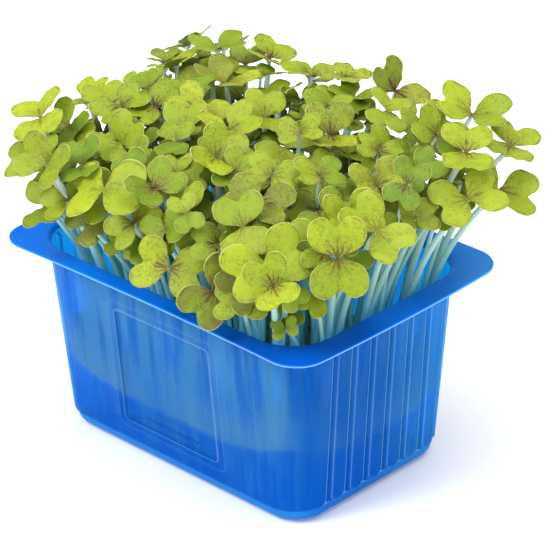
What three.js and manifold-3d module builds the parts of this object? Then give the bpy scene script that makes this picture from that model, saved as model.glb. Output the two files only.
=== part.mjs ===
// Microgreens tray: a deep thin-walled tray, a fibre mat wedged half way up in it, and tufts of
// cress seedlings that stand in holes of the mat. Millimetres, +Z up, the long side along X, the
// framed long side facing -Y. The origin is the middle of the tray's underside.
import * as THREE from 'three';
import { mergeVertices } from 'three/addons/utils/BufferGeometryUtils.js';
import Module from 'manifold-3d';

const wasm = await Module();
wasm.setup();

// Tray sizes
const RIM_LENGTH = 136;
const RIM_WIDTH = 98;
const RIM_RADIUS = 10.5;
const TRAY_HEIGHT = 69;
const FLANGE_WIDTH = 7.6;
const FLANGE_THICKNESS = 0.8;
const WALL_THICKNESS = 0.8;
const WALL_DRAFT = 0.075;
const WALL_RADIUS_TOP = 15.5;
const WALL_RADIUS_BASE = 12.5;
const STEP_HEIGHT = 5;
const STEP_INSET = 1.05;
const FOOT_HEIGHT = 1;
const FOOT_HALF = [50.6, 28.5];
const FOOT_RADIUS = 8;
const RIM_BOW = 1.5;
const FOOT_SPREAD = 0.6;
const FOOT_SQUEEZE = 0.8;
const EDGE_ROUNDING = [[0, 2.2], [0.6, 0.7], [1.8, 0]];
const FLOOR_ROUNDING = [1.2, 1.6];
const STEP_SLOPE = 0.4;
const GROOVE_RUNOUT = 1.4;
const MOUTH_FLARE = [1.3, 0.9];

// Grooves of the short sides, as [distance from the groove's middle, share of the full depth]
const GROOVE_COUNT = 7;
const GROOVE_PITCH = 8.7;
const GROOVE_MIDDLE = 3.5;
const GROOVE_TOP = 64.5;
const GROOVE_PROFILE = [[-1.15, 0], [0, 1], [1.15, 0]];

// Raised lines of the framed side: half width, lower and upper edge, line width and height
const FRAMES = [
  { halfWidth: 21.2, low: 13.3, high: 55.2, line: 1.1, proud: 0.5 },
  { halfWidth: 23.9, low: 10.6, high: 57.9, line: 0.8, proud: 0.3 },
];
const BAR = { halfLength: 12, low: 16.2, high: 17.2, proud: 0.4 };
const SUNK = 0.35;
const FRAME_CORNERS = [1.8, 1.2];
const BAR_CORNER = 0.3;

// Growing mat
const MAT_THICKNESS = 12;
const MAT_UNDERSIDE = 22;
const MAT_CURL = 10;
const MAT_GAP = 0.35;
const MAT_CORNER_RADIUS = 13;
const HOLE_RADIUS = 3.3;
const HOLE_SIDES = 5;

// Seedlings. The half outline of a seed leaf goes from its base to the notch at its tip, as shares
// of the half width and the length.
const LEAF_HALF_WIDTH = 9.5;
const LEAF_LENGTH = 13;
const LEAF_THICKNESS = 0.85;
const LEAF_OUTLINE = [[0.68, 0.14], [1, 0.58], [0.6, 1]];
const LEAF_NOTCH = 0.74;
const LEAF_MIDDLE = 0.42;
const LEAF_NECK = 0.9;
const STEM_RADIUS = [0.8, 0.68];
const STEM_STATIONS = [0, 0.52];
const STEM_UPRIGHT = 0.06;
const ROOT_HEIGHT = 7.6;
const ROOT_RADIUS = 1.35;
const ROOT_HALF_LENGTH = 2.6;
const FOOT_OFFSET = 0.9;
const ROOT_SPACING = 7.5;

// Canopy plan
const HEAD_REACH = [66, 47];
const ROOT_REACH = [48.5, 30.5];
const TUFT_PITCH = 18.2;
const ROW_SHARE = 0.84;
const TUFT_JITTER = 4;
const HAND_SPACING = 12.8;
const CORNER_REACH = 15.5;
const HEAD_SPREAD = 6.8;
// The up to three seedlings of a tuft of the grid: size, drop below the canopy's height, and how much
// further down each attempt goes
const GRID_HEADS = [
  { size: 0.86, drop: [-3, 5], sink: 0 },
  { size: 0.74, drop: [2, 8], sink: 0.06 },
  { size: 0.64, drop: [5, 12], sink: 0.06 },
];
const LIGHT_NOD = [0.25, -0.3];
const HAND_STRAY = 0.16;
const HAND_SHRINK = 0.003;
const HAND_FOLD = [0.08, 0.3];
const HAND_DROOP = 0.25;
const GRID_SHRINK = 0.0035;
const GRID_LIFT = [0.08, 0.62];
const GRID_FOLD = 0.5;
const GRID_DROOP = 0.3;
const GRID_SWAY = 2.4;
const GRID_BEND = 1.5;
const HAND_BEND = 1.9;
const SPREAD_VARIES = [0.5, 0.8];
const ASIDE_VARIES = 1.2;
const SIZE_VARIES = 0.12;
const NOD_VARIES = 0.6;
const NOD_OUTWARD = 0.2;
const CANOPY_HEIGHT = 110;
const BACK_RISE = 5;
const EDGE_FALL = 3;
const TRIES = 110;
const SEED = 43;

// Places along one side of the tray's outline. A place is a distance from the side's middle, or a
// share of the way from the last such distance round to the middle of the corner.
const SHORT_SIDE = grooveStations();
const LONG_SIDE = [-40, -20, 0, 20, 40].map((along) => ({ along, depth: 0 }));

function grooveStations() {
  const stations = [];
  for (let i = 0; i < GROOVE_COUNT; i++) {
    const middle = GROOVE_MIDDLE + (i - (GROOVE_COUNT - 1) / 2) * GROOVE_PITCH;
    for (const [offset, depth] of GROOVE_PROFILE) {
      stations.push({ along: middle + offset, depth });
    }
  }
  return stations;
}

// One closed outline of the tray, counter-clockwise seen from above
function trayRing({ halfX, halfY, radius, z, groove = 0, bow = 0, squeeze = 1 }) {
  const ring = [];
  const place = (side, along, depth) => {
    const angle = (side * Math.PI) / 2;
    const out = new THREE.Vector2(Math.cos(angle), Math.sin(angle));
    const run = new THREE.Vector2(-out.y, out.x);
    const reach = side % 2 ? halfY : halfX;
    const straight = (side % 2 ? halfX : halfY) - radius;
    const turn = Math.max(0, Math.abs(along) - straight) / radius;
    const sign = Math.sign(along);
    const level = Math.min(Math.abs(along), straight) * sign;
    const point = out.clone().multiplyScalar(reach - radius + (radius - depth * groove) * Math.cos(turn));
    point.addScaledVector(run, level + sign * (radius - depth * groove) * Math.sin(turn));
    const share = side % 2 ? point.x / halfX : point.y / halfY;
    if (side === 0) point.x += bow * (1 - share * share);
    if (side === 3) point.y += bow * (1 - share * share);
    ring.push(new THREE.Vector3(point.x, point.y, z));
  };
  for (let side = 0; side < 4; side++) {
    const stations = side % 2 ? LONG_SIDE : SHORT_SIDE;
    const straight = (side % 2 ? halfX : halfY) - radius;
    const corner = straight + (radius * Math.PI) / 4;
    const first = stations[0].along * squeeze;
    const last = stations[stations.length - 1].along * squeeze;
    for (const share of [0.75, 0.5, 0.25]) place(side, first + (-corner - first) * share, 0);
    for (const { along, depth } of stations) place(side, along * squeeze, depth);
    for (const share of [0.25, 0.5, 0.75, 1]) place(side, last + (corner - last) * share, 0);
  }
  return ring;
}

// Half sizes of the wall's outer face at height z, moved out or in
function wallLevel(z, moved, more = {}) {
  const fall = WALL_DRAFT * (TRAY_HEIGHT - z);
  const share = z / TRAY_HEIGHT;
  return {
    halfX: RIM_LENGTH / 2 - FLANGE_WIDTH - fall + moved,
    halfY: RIM_WIDTH / 2 - FLANGE_WIDTH - fall + moved,
    radius: WALL_RADIUS_BASE + (WALL_RADIUS_TOP - WALL_RADIUS_BASE) * share + moved,
    z,
    ...more,
  };
}

function rimLevel(z, moved) {
  return {
    halfX: RIM_LENGTH / 2 + moved,
    halfY: RIM_WIDTH / 2 + moved,
    radius: RIM_RADIUS + moved,
    z,
    bow: RIM_BOW,
  };
}

function footLevel(z, moved) {
  return {
    halfX: FOOT_HALF[0] + moved,
    halfY: FOOT_HALF[1] + moved,
    radius: FOOT_RADIUS + moved,
    z,
    squeeze: FOOT_SQUEEZE,
  };
}

// A closed solid from outlines with the same number of points, capped at both ends
function loft(rings) {
  const count = rings[0].length;
  const points = rings.flat();
  const index = [];
  for (let row = 0; row + 1 < rings.length; row++) {
    for (let i = 0; i < count; i++) {
      const a = row * count + i;
      const b = row * count + ((i + 1) % count);
      index.push(a, b, b + count, a, b + count, a + count);
    }
  }
  const caps = [[0, true], [rings.length - 1, false]];
  for (const [row, flip] of caps) {
    const flat = rings[row].map((p) => new THREE.Vector2(p.x, p.y));
    for (const [a, b, c] of THREE.ShapeUtils.triangulateShape(flat, [])) {
      const base = row * count;
      index.push(base + a, base + (flip ? c : b), base + (flip ? b : c));
    }
  }
  const geometry = new THREE.BufferGeometry().setFromPoints(points);
  geometry.setIndex(index);
  return geometry;
}

// Solids for the boolean joins
function solid(geometry) {
  const bare = geometry.clone();
  bare.deleteAttribute('normal');
  bare.deleteAttribute('uv');
  const merged = mergeVertices(bare, 1e-4);
  return new wasm.Manifold(new wasm.Mesh({
    numProp: 3,
    vertProperties: new Float32Array(merged.attributes.position.array),
    triVerts: new Uint32Array(merged.index.array),
  }));
}

function joined(geometries) {
  const whole = geometries.map(solid).reduce((sum, next) => sum.add(next));
  const mesh = whole.getMesh();
  const geometry = new THREE.BufferGeometry();
  geometry.setAttribute('position', new THREE.BufferAttribute(new Float32Array(mesh.vertProperties), 3));
  geometry.setIndex([...mesh.triVerts]);
  geometry.computeVertexNormals();
  return geometry;
}

// Tray
function trayShell() {
  const under = TRAY_HEIGHT - FLANGE_THICKNESS;
  const inside = -WALL_THICKNESS;
  const skirt = -STEP_INSET;
  const floor = FOOT_HEIGHT + WALL_THICKNESS;
  return loft([
    footLevel(0, 0),
    footLevel(FOOT_HEIGHT, FOOT_SPREAD),
    ...EDGE_ROUNDING.map(([rise, within]) => wallLevel(FOOT_HEIGHT + rise, skirt - within)),
    wallLevel(STEP_HEIGHT - STEP_SLOPE, skirt),
    wallLevel(STEP_HEIGHT + STEP_SLOPE, 0, { groove: STEP_INSET }),
    wallLevel(GROOVE_TOP, 0, { groove: STEP_INSET }),
    wallLevel(GROOVE_TOP + GROOVE_RUNOUT, 0),
    wallLevel(under, MOUTH_FLARE[0]),
    rimLevel(under, 0),
    rimLevel(TRAY_HEIGHT, 0),
    wallLevel(TRAY_HEIGHT, MOUTH_FLARE[1]),
    wallLevel(GROOVE_TOP + GROOVE_RUNOUT, inside),
    wallLevel(GROOVE_TOP, inside, { groove: STEP_INSET }),
    wallLevel(STEP_HEIGHT + 2 * STEP_SLOPE, inside, { groove: STEP_INSET }),
    wallLevel(STEP_HEIGHT, skirt + inside),
    wallLevel(floor + FLOOR_ROUNDING[0], skirt + inside),
    wallLevel(floor, skirt + inside - FLOOR_ROUNDING[1]),
  ].map(trayRing));
}

function rectangle(halfWidth, low, high, radius) {
  const shape = new THREE.Shape();
  shape.moveTo(-halfWidth + radius, low);
  shape.lineTo(halfWidth - radius, low);
  shape.quadraticCurveTo(halfWidth, low, halfWidth, low + radius);
  shape.lineTo(halfWidth, high - radius);
  shape.quadraticCurveTo(halfWidth, high, halfWidth - radius, high);
  shape.lineTo(-halfWidth + radius, high);
  shape.quadraticCurveTo(-halfWidth, high, -halfWidth, high - radius);
  shape.lineTo(-halfWidth, low + radius);
  shape.quadraticCurveTo(-halfWidth, low, -halfWidth + radius, low);
  return shape;
}

// Stands a flat outline up against the framed wall, sunk a little into it
function onFramedWall(shape, proud) {
  const geometry = new THREE.ExtrudeGeometry(shape, {
    depth: SUNK + proud,
    bevelEnabled: false,
    curveSegments: 2,
  });
  geometry.translate(0, 0, -SUNK);
  geometry.rotateX(Math.PI / 2 + Math.atan(WALL_DRAFT));
  return geometry.translate(0, -wallLevel(0, 0).halfY, 0);
}

function frameLine({ halfWidth, low, high, line, proud }) {
  const shape = rectangle(halfWidth + line / 2, low - line / 2, high + line / 2, FRAME_CORNERS[0]);
  shape.holes.push(rectangle(halfWidth - line / 2, low + line / 2, high - line / 2, FRAME_CORNERS[1]));
  return onFramedWall(shape, proud);
}

function tray() {
  const bar = onFramedWall(rectangle(BAR.halfLength, BAR.low, BAR.high, BAR_CORNER), BAR.proud);
  return joined([trayShell(), ...FRAMES.map(frameLine), bar]);
}

// Growing mat
function matHalf(z) {
  const level = wallLevel(z, -WALL_THICKNESS - MAT_GAP);
  return [level.halfX - STEP_INSET, level.halfY];
}

function matLift(x, y) {
  const [halfX, halfY] = matHalf(MAT_UNDERSIDE);
  return MAT_CURL * Math.pow((x * x) / (halfX * halfX), 2) * Math.pow((y * y) / (halfY * halfY), 2);
}

function mat(tufts) {
  const [halfX, halfY] = matHalf(MAT_UNDERSIDE);
  const radius = MAT_CORNER_RADIUS;
  const shape = new THREE.Shape();
  shape.absarc(halfX - radius, halfY - radius, radius, 0, Math.PI / 2);
  shape.absarc(radius - halfX, halfY - radius, radius, Math.PI / 2, Math.PI);
  shape.absarc(radius - halfX, radius - halfY, radius, Math.PI, Math.PI * 1.5);
  shape.absarc(halfX - radius, radius - halfY, radius, Math.PI * 1.5, Math.PI * 2);
  for (const { root } of tufts) {
    const hole = new THREE.Path();
    for (let i = 0; i < HOLE_SIDES; i++) {
      const angle = root.x - (i * 2 * Math.PI) / HOLE_SIDES;
      const x = root.x + HOLE_RADIUS * Math.cos(angle);
      const y = root.y + HOLE_RADIUS * Math.sin(angle);
      if (i) hole.lineTo(x, y);
      else hole.moveTo(x, y);
    }
    hole.closePath();
    shape.holes.push(hole);
  }
  const geometry = new THREE.ExtrudeGeometry(shape, {
    depth: MAT_THICKNESS,
    bevelEnabled: false,
    curveSegments: 5,
  });
  const spots = geometry.attributes.position;
  for (let i = 0; i < spots.count; i++) {
    const x = spots.getX(i);
    const y = spots.getY(i);
    spots.setZ(i, spots.getZ(i) + matLift(x, y));
  }
  geometry.computeVertexNormals();
  return geometry;
}

// Random draws from 0 to 1, the same on every run
function drawsFrom(seed) {
  let state = seed;
  return () => {
    state = (state * 16807) % 2147483647;
    return state / 2147483647;
  };
}

// One seedling's stem, as a path from its foot to the middle of its pair of leaves
function stemPoint(seedling, t) {
  const { foot, head, bend, sway } = seedling;
  const gone = Math.pow(Math.max(0, t - STEM_UPRIGHT) / (1 - STEM_UPRIGHT), bend);
  const swing = sway * Math.pow(Math.sin(Math.PI * t), 2);
  return new THREE.Vector3(
    foot.x + (head.x - foot.x) * gone + swing * Math.sin(seedling.turn),
    foot.y + (head.y - foot.y) * gone + swing * Math.cos(seedling.turn),
    foot.z + (head.z - foot.z) * t,
  );
}

// The place beside a tuft's root where one of its stems starts
function footOf(root, way) {
  return new THREE.Vector3(
    root.x + FOOT_OFFSET * Math.cos(way),
    root.y + FOOT_OFFSET * Math.sin(way),
    root.z,
  );
}

// The two leaves of a pair, each with its own axes: across, along and up
function leavesOf(seedling) {
  const { foot, head, bend, turn, nod, size } = seedling;
  const up = new THREE.Vector3(
    (bend * (head.x - foot.x)) / (head.z - foot.z) + nod[0],
    (bend * (head.y - foot.y)) / (head.z - foot.z) + nod[1],
    1,
  ).normalize();
  const level = new THREE.Vector3(Math.cos(turn), Math.sin(turn), 0);
  const axis = level.addScaledVector(up, -level.dot(up)).normalize();
  return [1, -1].map((way, i) => {
    const lift = seedling.lift[i];
    const along = axis.clone().multiplyScalar(way * Math.cos(lift)).addScaledVector(up, Math.sin(lift));
    const across = axis.clone().multiplyScalar(way).cross(up);
    return {
      head,
      across,
      along,
      up: across.clone().cross(along),
      neckUp: up,
      halfWidth: LEAF_HALF_WIDTH * size,
      length: LEAF_LENGTH * size,
      fold: seedling.fold[i],
      droop: seedling.droop[i],
    };
  });
}

// How far the blade stands above its flat plane, x across and y along it
function bladeRise(leaf, x, y) {
  const side = Math.abs(x) / leaf.halfWidth;
  const way = y / leaf.length;
  return leaf.halfWidth * leaf.fold * side * (1 - 0.4 * side) - leaf.length * leaf.droop * way * way;
}

function bladePoint(leaf, x, y, below = 0) {
  const lift = bladeRise(leaf, x, y) - below;
  return leaf.head.clone()
    .addScaledVector(leaf.across, x)
    .addScaledVector(leaf.along, y)
    .addScaledVector(leaf.up, lift);
}

// Places on a blade where its room to the others is measured, as shares of half width and length
const MIDRIB_FEELERS = [[0, 0.08], [0, 0.36], [0, 0.7]];
const SIDE_FEELERS = [[0.25, 0.12], [0.55, 0.15], [0.3, 0.35], [0.85, 0.32], [0.45, 0.58], [0.99, 0.6],
  [0.25, 0.85], [0.68, 0.78], [0.92, 0.84], [0.36, 1], [0.6, 0.98], [0.8, 0.94]];
const FEELERS = [...MIDRIB_FEELERS, ...SIDE_FEELERS, ...SIDE_FEELERS.map(([x, y]) => [-x, y])];
const LEAF_ROOM = 1.5;
const STEM_ROOM = 1.7;
const EDGE_ROOM = 1.6;
const STEM_SPACING = 2.1;
const STEM_LEVELS = 24;
const STEM_FELT = [0.28, 0.99];
const NEAR = 36;
const LEAF_FOOT = -0.8;
const WALL_ROOM = 1.7;
const RIM_ROOM = 1.6;

function withFeelers(seedling) {
  const leaves = leavesOf(seedling);
  const blades = leaves.map((leaf) => FEELERS.map(([x, y]) => (
    bladePoint(leaf, x * leaf.halfWidth, y * leaf.length)
  )));
  const stem = [];
  for (let i = 0; i < STEM_LEVELS; i++) {
    stem.push(stemPoint(seedling, STEM_FELT[0] + ((STEM_FELT[1] - STEM_FELT[0]) * i) / (STEM_LEVELS - 1)));
  }
  return { ...seedling, leaves, blades, stem };
}

// True where all the points over a blade's outline lie on one side of it, with room between
function oneSided(points, leaf, room) {
  let side = 0;
  for (const point of points) {
    const from = point.clone().sub(leaf.head);
    const y = from.dot(leaf.along);
    if (y < LEAF_FOOT || y > leaf.length + EDGE_ROOM) continue;
    const x = from.dot(leaf.across);
    const reach = leaf.halfWidth * Math.min(1, 0.2 + (2 * Math.max(0, y)) / leaf.length) + EDGE_ROOM;
    if (Math.abs(x) > reach) continue;
    const gap = from.dot(leaf.up) - bladeRise(leaf, x, y);
    if (Math.abs(gap) < room || gap * side < 0) return false;
    side = gap;
  }
  return true;
}

function stemsClear(a, b) {
  for (let i = 0; i < a.stem.length; i++) {
    const z = a.stem[i].z;
    const t = (z - b.foot.z) / (b.head.z - b.foot.z);
    if (t < 0 || t > 1) continue;
    const other = stemPoint(b, t);
    if (Math.hypot(a.stem[i].x - other.x, a.stem[i].y - other.y) < STEM_SPACING) return false;
  }
  return true;
}

function seedlingsClear(a, b) {
  if (a.head.distanceTo(b.head) > NEAR) return true;
  for (let i = 0; i < 2; i++) {
    for (let k = 0; k < 2; k++) {
      if (!oneSided(a.blades[i], b.leaves[k], LEAF_ROOM)) return false;
      if (!oneSided(b.blades[k], a.leaves[i], LEAF_ROOM)) return false;
    }
    if (!oneSided(a.stem, b.leaves[i], STEM_ROOM)) return false;
    if (!oneSided(b.stem, a.leaves[i], STEM_ROOM)) return false;
  }
  return a.root.distanceTo(b.root) < 0.1 || stemsClear(a, b);
}

// The blades stay above the rim, and the stems inside the walls
function clearOfTray(seedling) {
  for (const point of seedling.stem) {
    if (point.z > TRAY_HEIGHT + 0.5) continue;
    const wall = wallLevel(point.z, -WALL_THICKNESS - WALL_ROOM);
    if (Math.abs(point.x) > wall.halfX || Math.abs(point.y) > wall.halfY) return false;
  }
  return seedling.blades.flat().every((point) => point.z > TRAY_HEIGHT + RIM_ROOM);
}

// Hand-placed tufts along the near edges and at the far corners: the place of the root, and for each
// head its place, how its pair is turned, how it nods outward, how its two leaves lift, and its size
const HAND_TUFTS = [
  { root: [17, -30.5], heads: [
    { at: [17.5, -52, 88], turn: 3.4, nod: [0.3, 0], lift: [0.1, 0], size: 0.95, bend: 3.1 },
    { at: [33, -48.5, 84], turn: 5.2, nod: [0.6, 0], lift: [0.1, 0.1], size: 0.9, bend: 3.2 },
  ] },
  { root: [48.5, -14], heads: [
    { at: [66, -28, 99], turn: -0.8, nod: [0.4, -0.6], lift: [0, 0.3], size: 1 },
    { at: [67, -12.5, 102.5], turn: 0, nod: [0.3, -0.3], lift: [0.2, 0.2], size: 0.95 },
  ] },
  { root: [31, -28], heads: [
    { at: [49.5, -42, 97], turn: 1.4, nod: [0.4, -0.5], lift: [0.1, 0.1], size: 1.05 },
    { at: [36, -38, 103], turn: 2.4, nod: [0.3, -0.5], lift: [0.2, 0.2], size: 0.9 },
  ] },
  { root: [-7, -30.5], heads: [
    { at: [-15, -48, 103], turn: 3.6, nod: [0.1, -0.4], lift: [0.1, -0.1], size: 1.1 },
    { at: [-3, -47, 95], turn: 1.3, nod: [0.1, -0.4], lift: [0.2, 0.1], size: 0.75 },
  ] },
  { root: [48.5, 30.5], heads: [
    { at: [71, 41, 98], turn: 0.6, nod: [0, -0.4], lift: [0.2, 0.3], size: 1, bend: 2.2 },
    { at: [65, 53, 107], turn: 2.1, nod: [-0.2, -0.5], lift: [0.3, 0.2], size: 0.95, bend: 2.2 },
  ] },
  { root: [48.5, 18], heads: [
    { at: [72, 24, 101], turn: 1.4, nod: [0, -0.3], lift: [0.3, 0.1], size: 1, bend: 2 },
    { at: [64, 33, 111], turn: 2.3, nod: [-0.1, -0.5], lift: [0.3, 0.3], size: 0.95, bend: 2 },
  ] },
  { root: [38.5, 30.5], heads: [
    { at: [50, 52, 114], turn: 0.5, nod: [0, -0.6], lift: [0.4, 0.4], size: 1, bend: 2 },
    { at: [51, 44, 97], turn: 1.7, nod: [0, -0.4], lift: [0.2, 0.2], size: 0.75, bend: 2 },
  ] },
  { root: [-47, -26], heads: [
    { at: [-63, -31, 107], turn: 2.4, nod: [0.2, -0.3], lift: [0.2, 0.2], size: 1 },
    { at: [-55, -42, 99], turn: 0.6, nod: [0.2, -0.3], lift: [0.2, 0.2], size: 0.8 },
  ] },
];

// The place of a root inside the mat
function rootAt(x, y) {
  return new THREE.Vector3(x, y, MAT_UNDERSIDE + matLift(x, y) + ROOT_HEIGHT);
}

// Where a tuft's root stands, drawn in from its heads so that the stems fan out evenly
function rootUnder(middle) {
  const [x, y] = middle.map((value, i) => {
    const drawnIn = (value * ROOT_REACH[i]) / HEAD_REACH[i];
    return Math.max(-ROOT_REACH[i], Math.min(ROOT_REACH[i], drawnIn));
  });
  return rootAt(x, y);
}

// A hand-placed seedling, moved a little further with each attempt until it is clear of the others
function handSeedling(draw, tuft, which, attempt) {
  const { at, size, ...rest } = tuft.heads[which];
  const stray = () => attempt * HAND_STRAY * (draw() - 0.5);
  return withFeelers({
    bend: HAND_BEND,
    ...rest,
    root: tuft.root,
    foot: footOf(tuft.root, tuft.way + which * Math.PI),
    head: new THREE.Vector3(at[0] + stray(), at[1] + stray(), at[2] + stray()),
    turn: rest.turn + 0.2 * stray(),
    sway: 0,
    fold: [0, 1].map(() => HAND_FOLD[0] + HAND_FOLD[1] * draw()),
    droop: [0, 1].map(() => HAND_DROOP * draw()),
    size: size * (1 - HAND_SHRINK * attempt),
  });
}

// Middles of the other tufts: a staggered grid over the canopy, each a little out of line
function gridMiddles(draw, taken) {
  const middles = [];
  const rowGap = TUFT_PITCH * ROW_SHARE;
  const rows = Math.floor(HEAD_REACH[1] / rowGap);
  for (let row = -rows; row <= rows; row++) {
    const shift = row % 2 ? TUFT_PITCH / 2 : 0;
    for (let x = -HEAD_REACH[0] + 2 + shift; x <= HEAD_REACH[0]; x += TUFT_PITCH) {
      const middle = [x, row * rowGap].map((value) => value + TUFT_JITTER * (draw() - 0.5));
      const outward = Math.hypot(...middle.map((value, i) => value / (HEAD_REACH[i] + CORNER_REACH)));
      const free = taken.every((tuft) => (
        Math.hypot(tuft.middle[0] - middle[0], tuft.middle[1] - middle[1]) > HAND_SPACING
        && tuft.root.distanceTo(rootUnder(middle)) > ROOT_SPACING
      ));
      if (free && outward < 1) middles.push(middle);
    }
  }
  return middles;
}

// A seedling of the grid: the first of a tuft is large and high, the others lower and smaller, and each
// attempt makes it a little smaller still
function gridSeedling(draw, tuft, which, attempt) {
  const { middle, root } = tuft;
  const kind = GRID_HEADS[which];
  const way = tuft.way + (which * 2 * Math.PI) / GRID_HEADS.length;
  const aside = way + ASIDE_VARIES * (draw() - 0.5);
  const spread = HEAD_SPREAD * (SPREAD_VARIES[0] + SPREAD_VARIES[1] * draw());
  const outward = Math.hypot(middle[0] / HEAD_REACH[0], middle[1] / HEAD_REACH[1]);
  const dome = CANOPY_HEIGHT + BACK_RISE * (middle[1] / HEAD_REACH[1]) - EDGE_FALL * outward;
  const drop = kind.drop[0] + (kind.drop[1] - kind.drop[0]) * draw() + kind.sink * attempt;
  const head = new THREE.Vector3(
    middle[0] + spread * Math.cos(aside),
    middle[1] + spread * Math.sin(aside),
    dome - drop,
  );
  return withFeelers({
    root,
    foot: footOf(root, way),
    head,
    bend: GRID_BEND,
    sway: GRID_SWAY * (draw() - 0.5),
    turn: 2 * Math.PI * draw(),
    nod: middle.map((value, i) => (
      LIGHT_NOD[i] + NOD_OUTWARD * (value / HEAD_REACH[i]) + NOD_VARIES * (draw() - 0.5)
    )),
    lift: [0, 1].map(() => GRID_LIFT[0] + GRID_LIFT[1] * draw()),
    fold: [0, 1].map(() => GRID_FOLD * draw()),
    droop: [0, 1].map(() => GRID_DROOP * draw()),
    size: kind.size * (1 - GRID_SHRINK * attempt) + SIZE_VARIES * (draw() - 0.5),
  });
}

// Adds one seedling to a tuft: the first attempt that is clear of the tray and of all before it
function grow(make, tuft, which, placed) {
  for (let attempt = 0; attempt < TRIES; attempt++) {
    const seedling = make(tuft, which, attempt);
    if (!clearOfTray(seedling) || !placed.every((other) => seedlingsClear(seedling, other))) continue;
    tuft.seedlings.push(seedling);
    placed.push(seedling);
    return;
  }
}

function plantTufts() {
  const draw = drawsFrom(SEED);
  const placed = [];
  const handTufts = HAND_TUFTS.map(({ root, heads }) => {
    const [one, two] = heads.map((head) => head.at);
    const middle = [(one[0] + two[0]) / 2, (one[1] + two[1]) / 2];
    const way = Math.atan2(one[1] - two[1], one[0] - two[0]);
    return { heads, middle, way, root: rootAt(...root), seedlings: [] };
  });
  const gridTufts = gridMiddles(draw, handTufts).map((middle) => (
    { middle, way: 2 * Math.PI * draw(), root: rootUnder(middle), seedlings: [] }
  ));
  const kinds = [[handTufts, handSeedling, 2], [gridTufts, gridSeedling, GRID_HEADS.length]];
  for (const [tufts, make, heads] of kinds) {
    for (let which = 0; which < heads; which++) {
      for (const tuft of tufts) grow((...about) => make(draw, ...about), tuft, which, placed);
    }
  }
  return [...handTufts, ...gridTufts].filter((tuft) => tuft.seedlings.length > 0);
}

// One seedling as one closed solid: the two blades of the pair share a narrow waist, and the stem's
// four sides run down from a collar on the waist's underside
function seedlingSolid(seedling, origin) {
  const points = [];
  const faces = [];
  const add = (point) => points.push(point.clone().sub(origin)) - 1;
  const [near, far] = seedling.leaves;
  const waist = [1, -1].map((way) => near.head.clone().addScaledVector(near.across, way * LEAF_NECK));
  const high = waist.map(add);
  const low = waist.map((point) => add(point.addScaledVector(near.neckUp, -LEAF_THICKNESS)));
  const collar = [near, far].map((leaf) => add(bladePoint(leaf, 0, LEAF_NECK, LEAF_THICKNESS)));
  seedling.leaves.forEach((leaf, i) => {
    const half = LEAF_OUTLINE.map(([x, y]) => [x * leaf.halfWidth, y * leaf.length]);
    const back = half.map(([x, y]) => [-x, y]).reverse();
    const outline = [...half, [0, LEAF_NOTCH * leaf.length], ...back];
    const [topMiddle, lowMiddle] = [0, LEAF_THICKNESS].map((below) => (
      add(bladePoint(leaf, 0, LEAF_MIDDLE * leaf.length, below))
    ));
    const edges = [0, LEAF_THICKNESS].map((below) => (
      outline.map(([x, y]) => add(bladePoint(leaf, x, y, below)))
    ));
    const top = [high[i], ...edges[0], high[1 - i]];
    const under = [low[i], ...edges[1], low[1 - i]];
    for (let k = 0; k + 1 < top.length; k++) {
      faces.push([topMiddle, top[k], top[k + 1]], [lowMiddle, under[k + 1], under[k]]);
      faces.push([top[k], under[k], under[k + 1]], [top[k], under[k + 1], top[k + 1]]);
    }
    faces.push([topMiddle, high[1 - i], high[i]]);
    faces.push([lowMiddle, low[i], collar[i]], [lowMiddle, collar[i], low[1 - i]]);
  });
  let ring = [low[0], collar[0], low[1], collar[1]];
  for (const t of [...STEM_STATIONS].reverse()) {
    const radius = STEM_RADIUS[0] + (STEM_RADIUS[1] - STEM_RADIUS[0]) * t;
    const next = ringAround(stemPoint(seedling, t), radius, 4, seedling.turn - Math.PI / 2).map(add);
    next.forEach((a, k) => {
      const b = next[(k + 1) % 4];
      faces.push([a, b, ring[(k + 1) % 4]], [a, ring[(k + 1) % 4], ring[k]]);
    });
    ring = next;
  }
  faces.push([ring[0], ring[2], ring[1]], [ring[0], ring[3], ring[2]]);
  const geometry = new THREE.BufferGeometry().setFromPoints(points);
  geometry.setIndex(faces.flat());
  return geometry;
}

function ringAround(point, radius, sides, start) {
  const ring = [];
  for (let i = 0; i < sides; i++) {
    const angle = start + (i * 2 * Math.PI) / sides;
    const [x, y] = [Math.cos(angle), Math.sin(angle)];
    ring.push(new THREE.Vector3(point.x + radius * x, point.y + radius * y, point.z));
  }
  return ring;
}

// The root knot is a small block across both feet
function tuftSolid(tuft) {
  const ends = [-ROOT_HALF_LENGTH, ROOT_HALF_LENGTH].map((z) => new THREE.Vector3(0, 0, z));
  const start = tuft.way + Math.PI / 4;
  const knot = loft(ends.map((end) => ringAround(end, ROOT_RADIUS, 4, start)));
  return joined([knot, ...tuft.seedlings.map((seedling) => seedlingSolid(seedling, tuft.root))]);
}

// Scene
const group = new THREE.Group();

function addPiece(name, geometry, color, roughness, position) {
  const mesh = new THREE.Mesh(geometry, new THREE.MeshStandardMaterial({ color, roughness, metalness: 0 }));
  mesh.name = name;
  if (position) mesh.position.copy(position);
  group.add(mesh);
}

const tufts = plantTufts();
addPiece('tray', tray(), 0x1a6fcb, 0.25);
addPiece('growing_mat', mat(tufts), 0xb9b48f, 0.95, new THREE.Vector3(0, 0, MAT_UNDERSIDE));
tufts.forEach((tuft, i) => {
  const name = `seedlings_${String(i + 1).padStart(2, '0')}`;
  addPiece(name, tuftSolid(tuft), 0xa3bd3a, 0.6, tuft.root);
});

export default group;
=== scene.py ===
import math

import bpy
import numpy as np
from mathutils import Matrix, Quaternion, Vector


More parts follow.
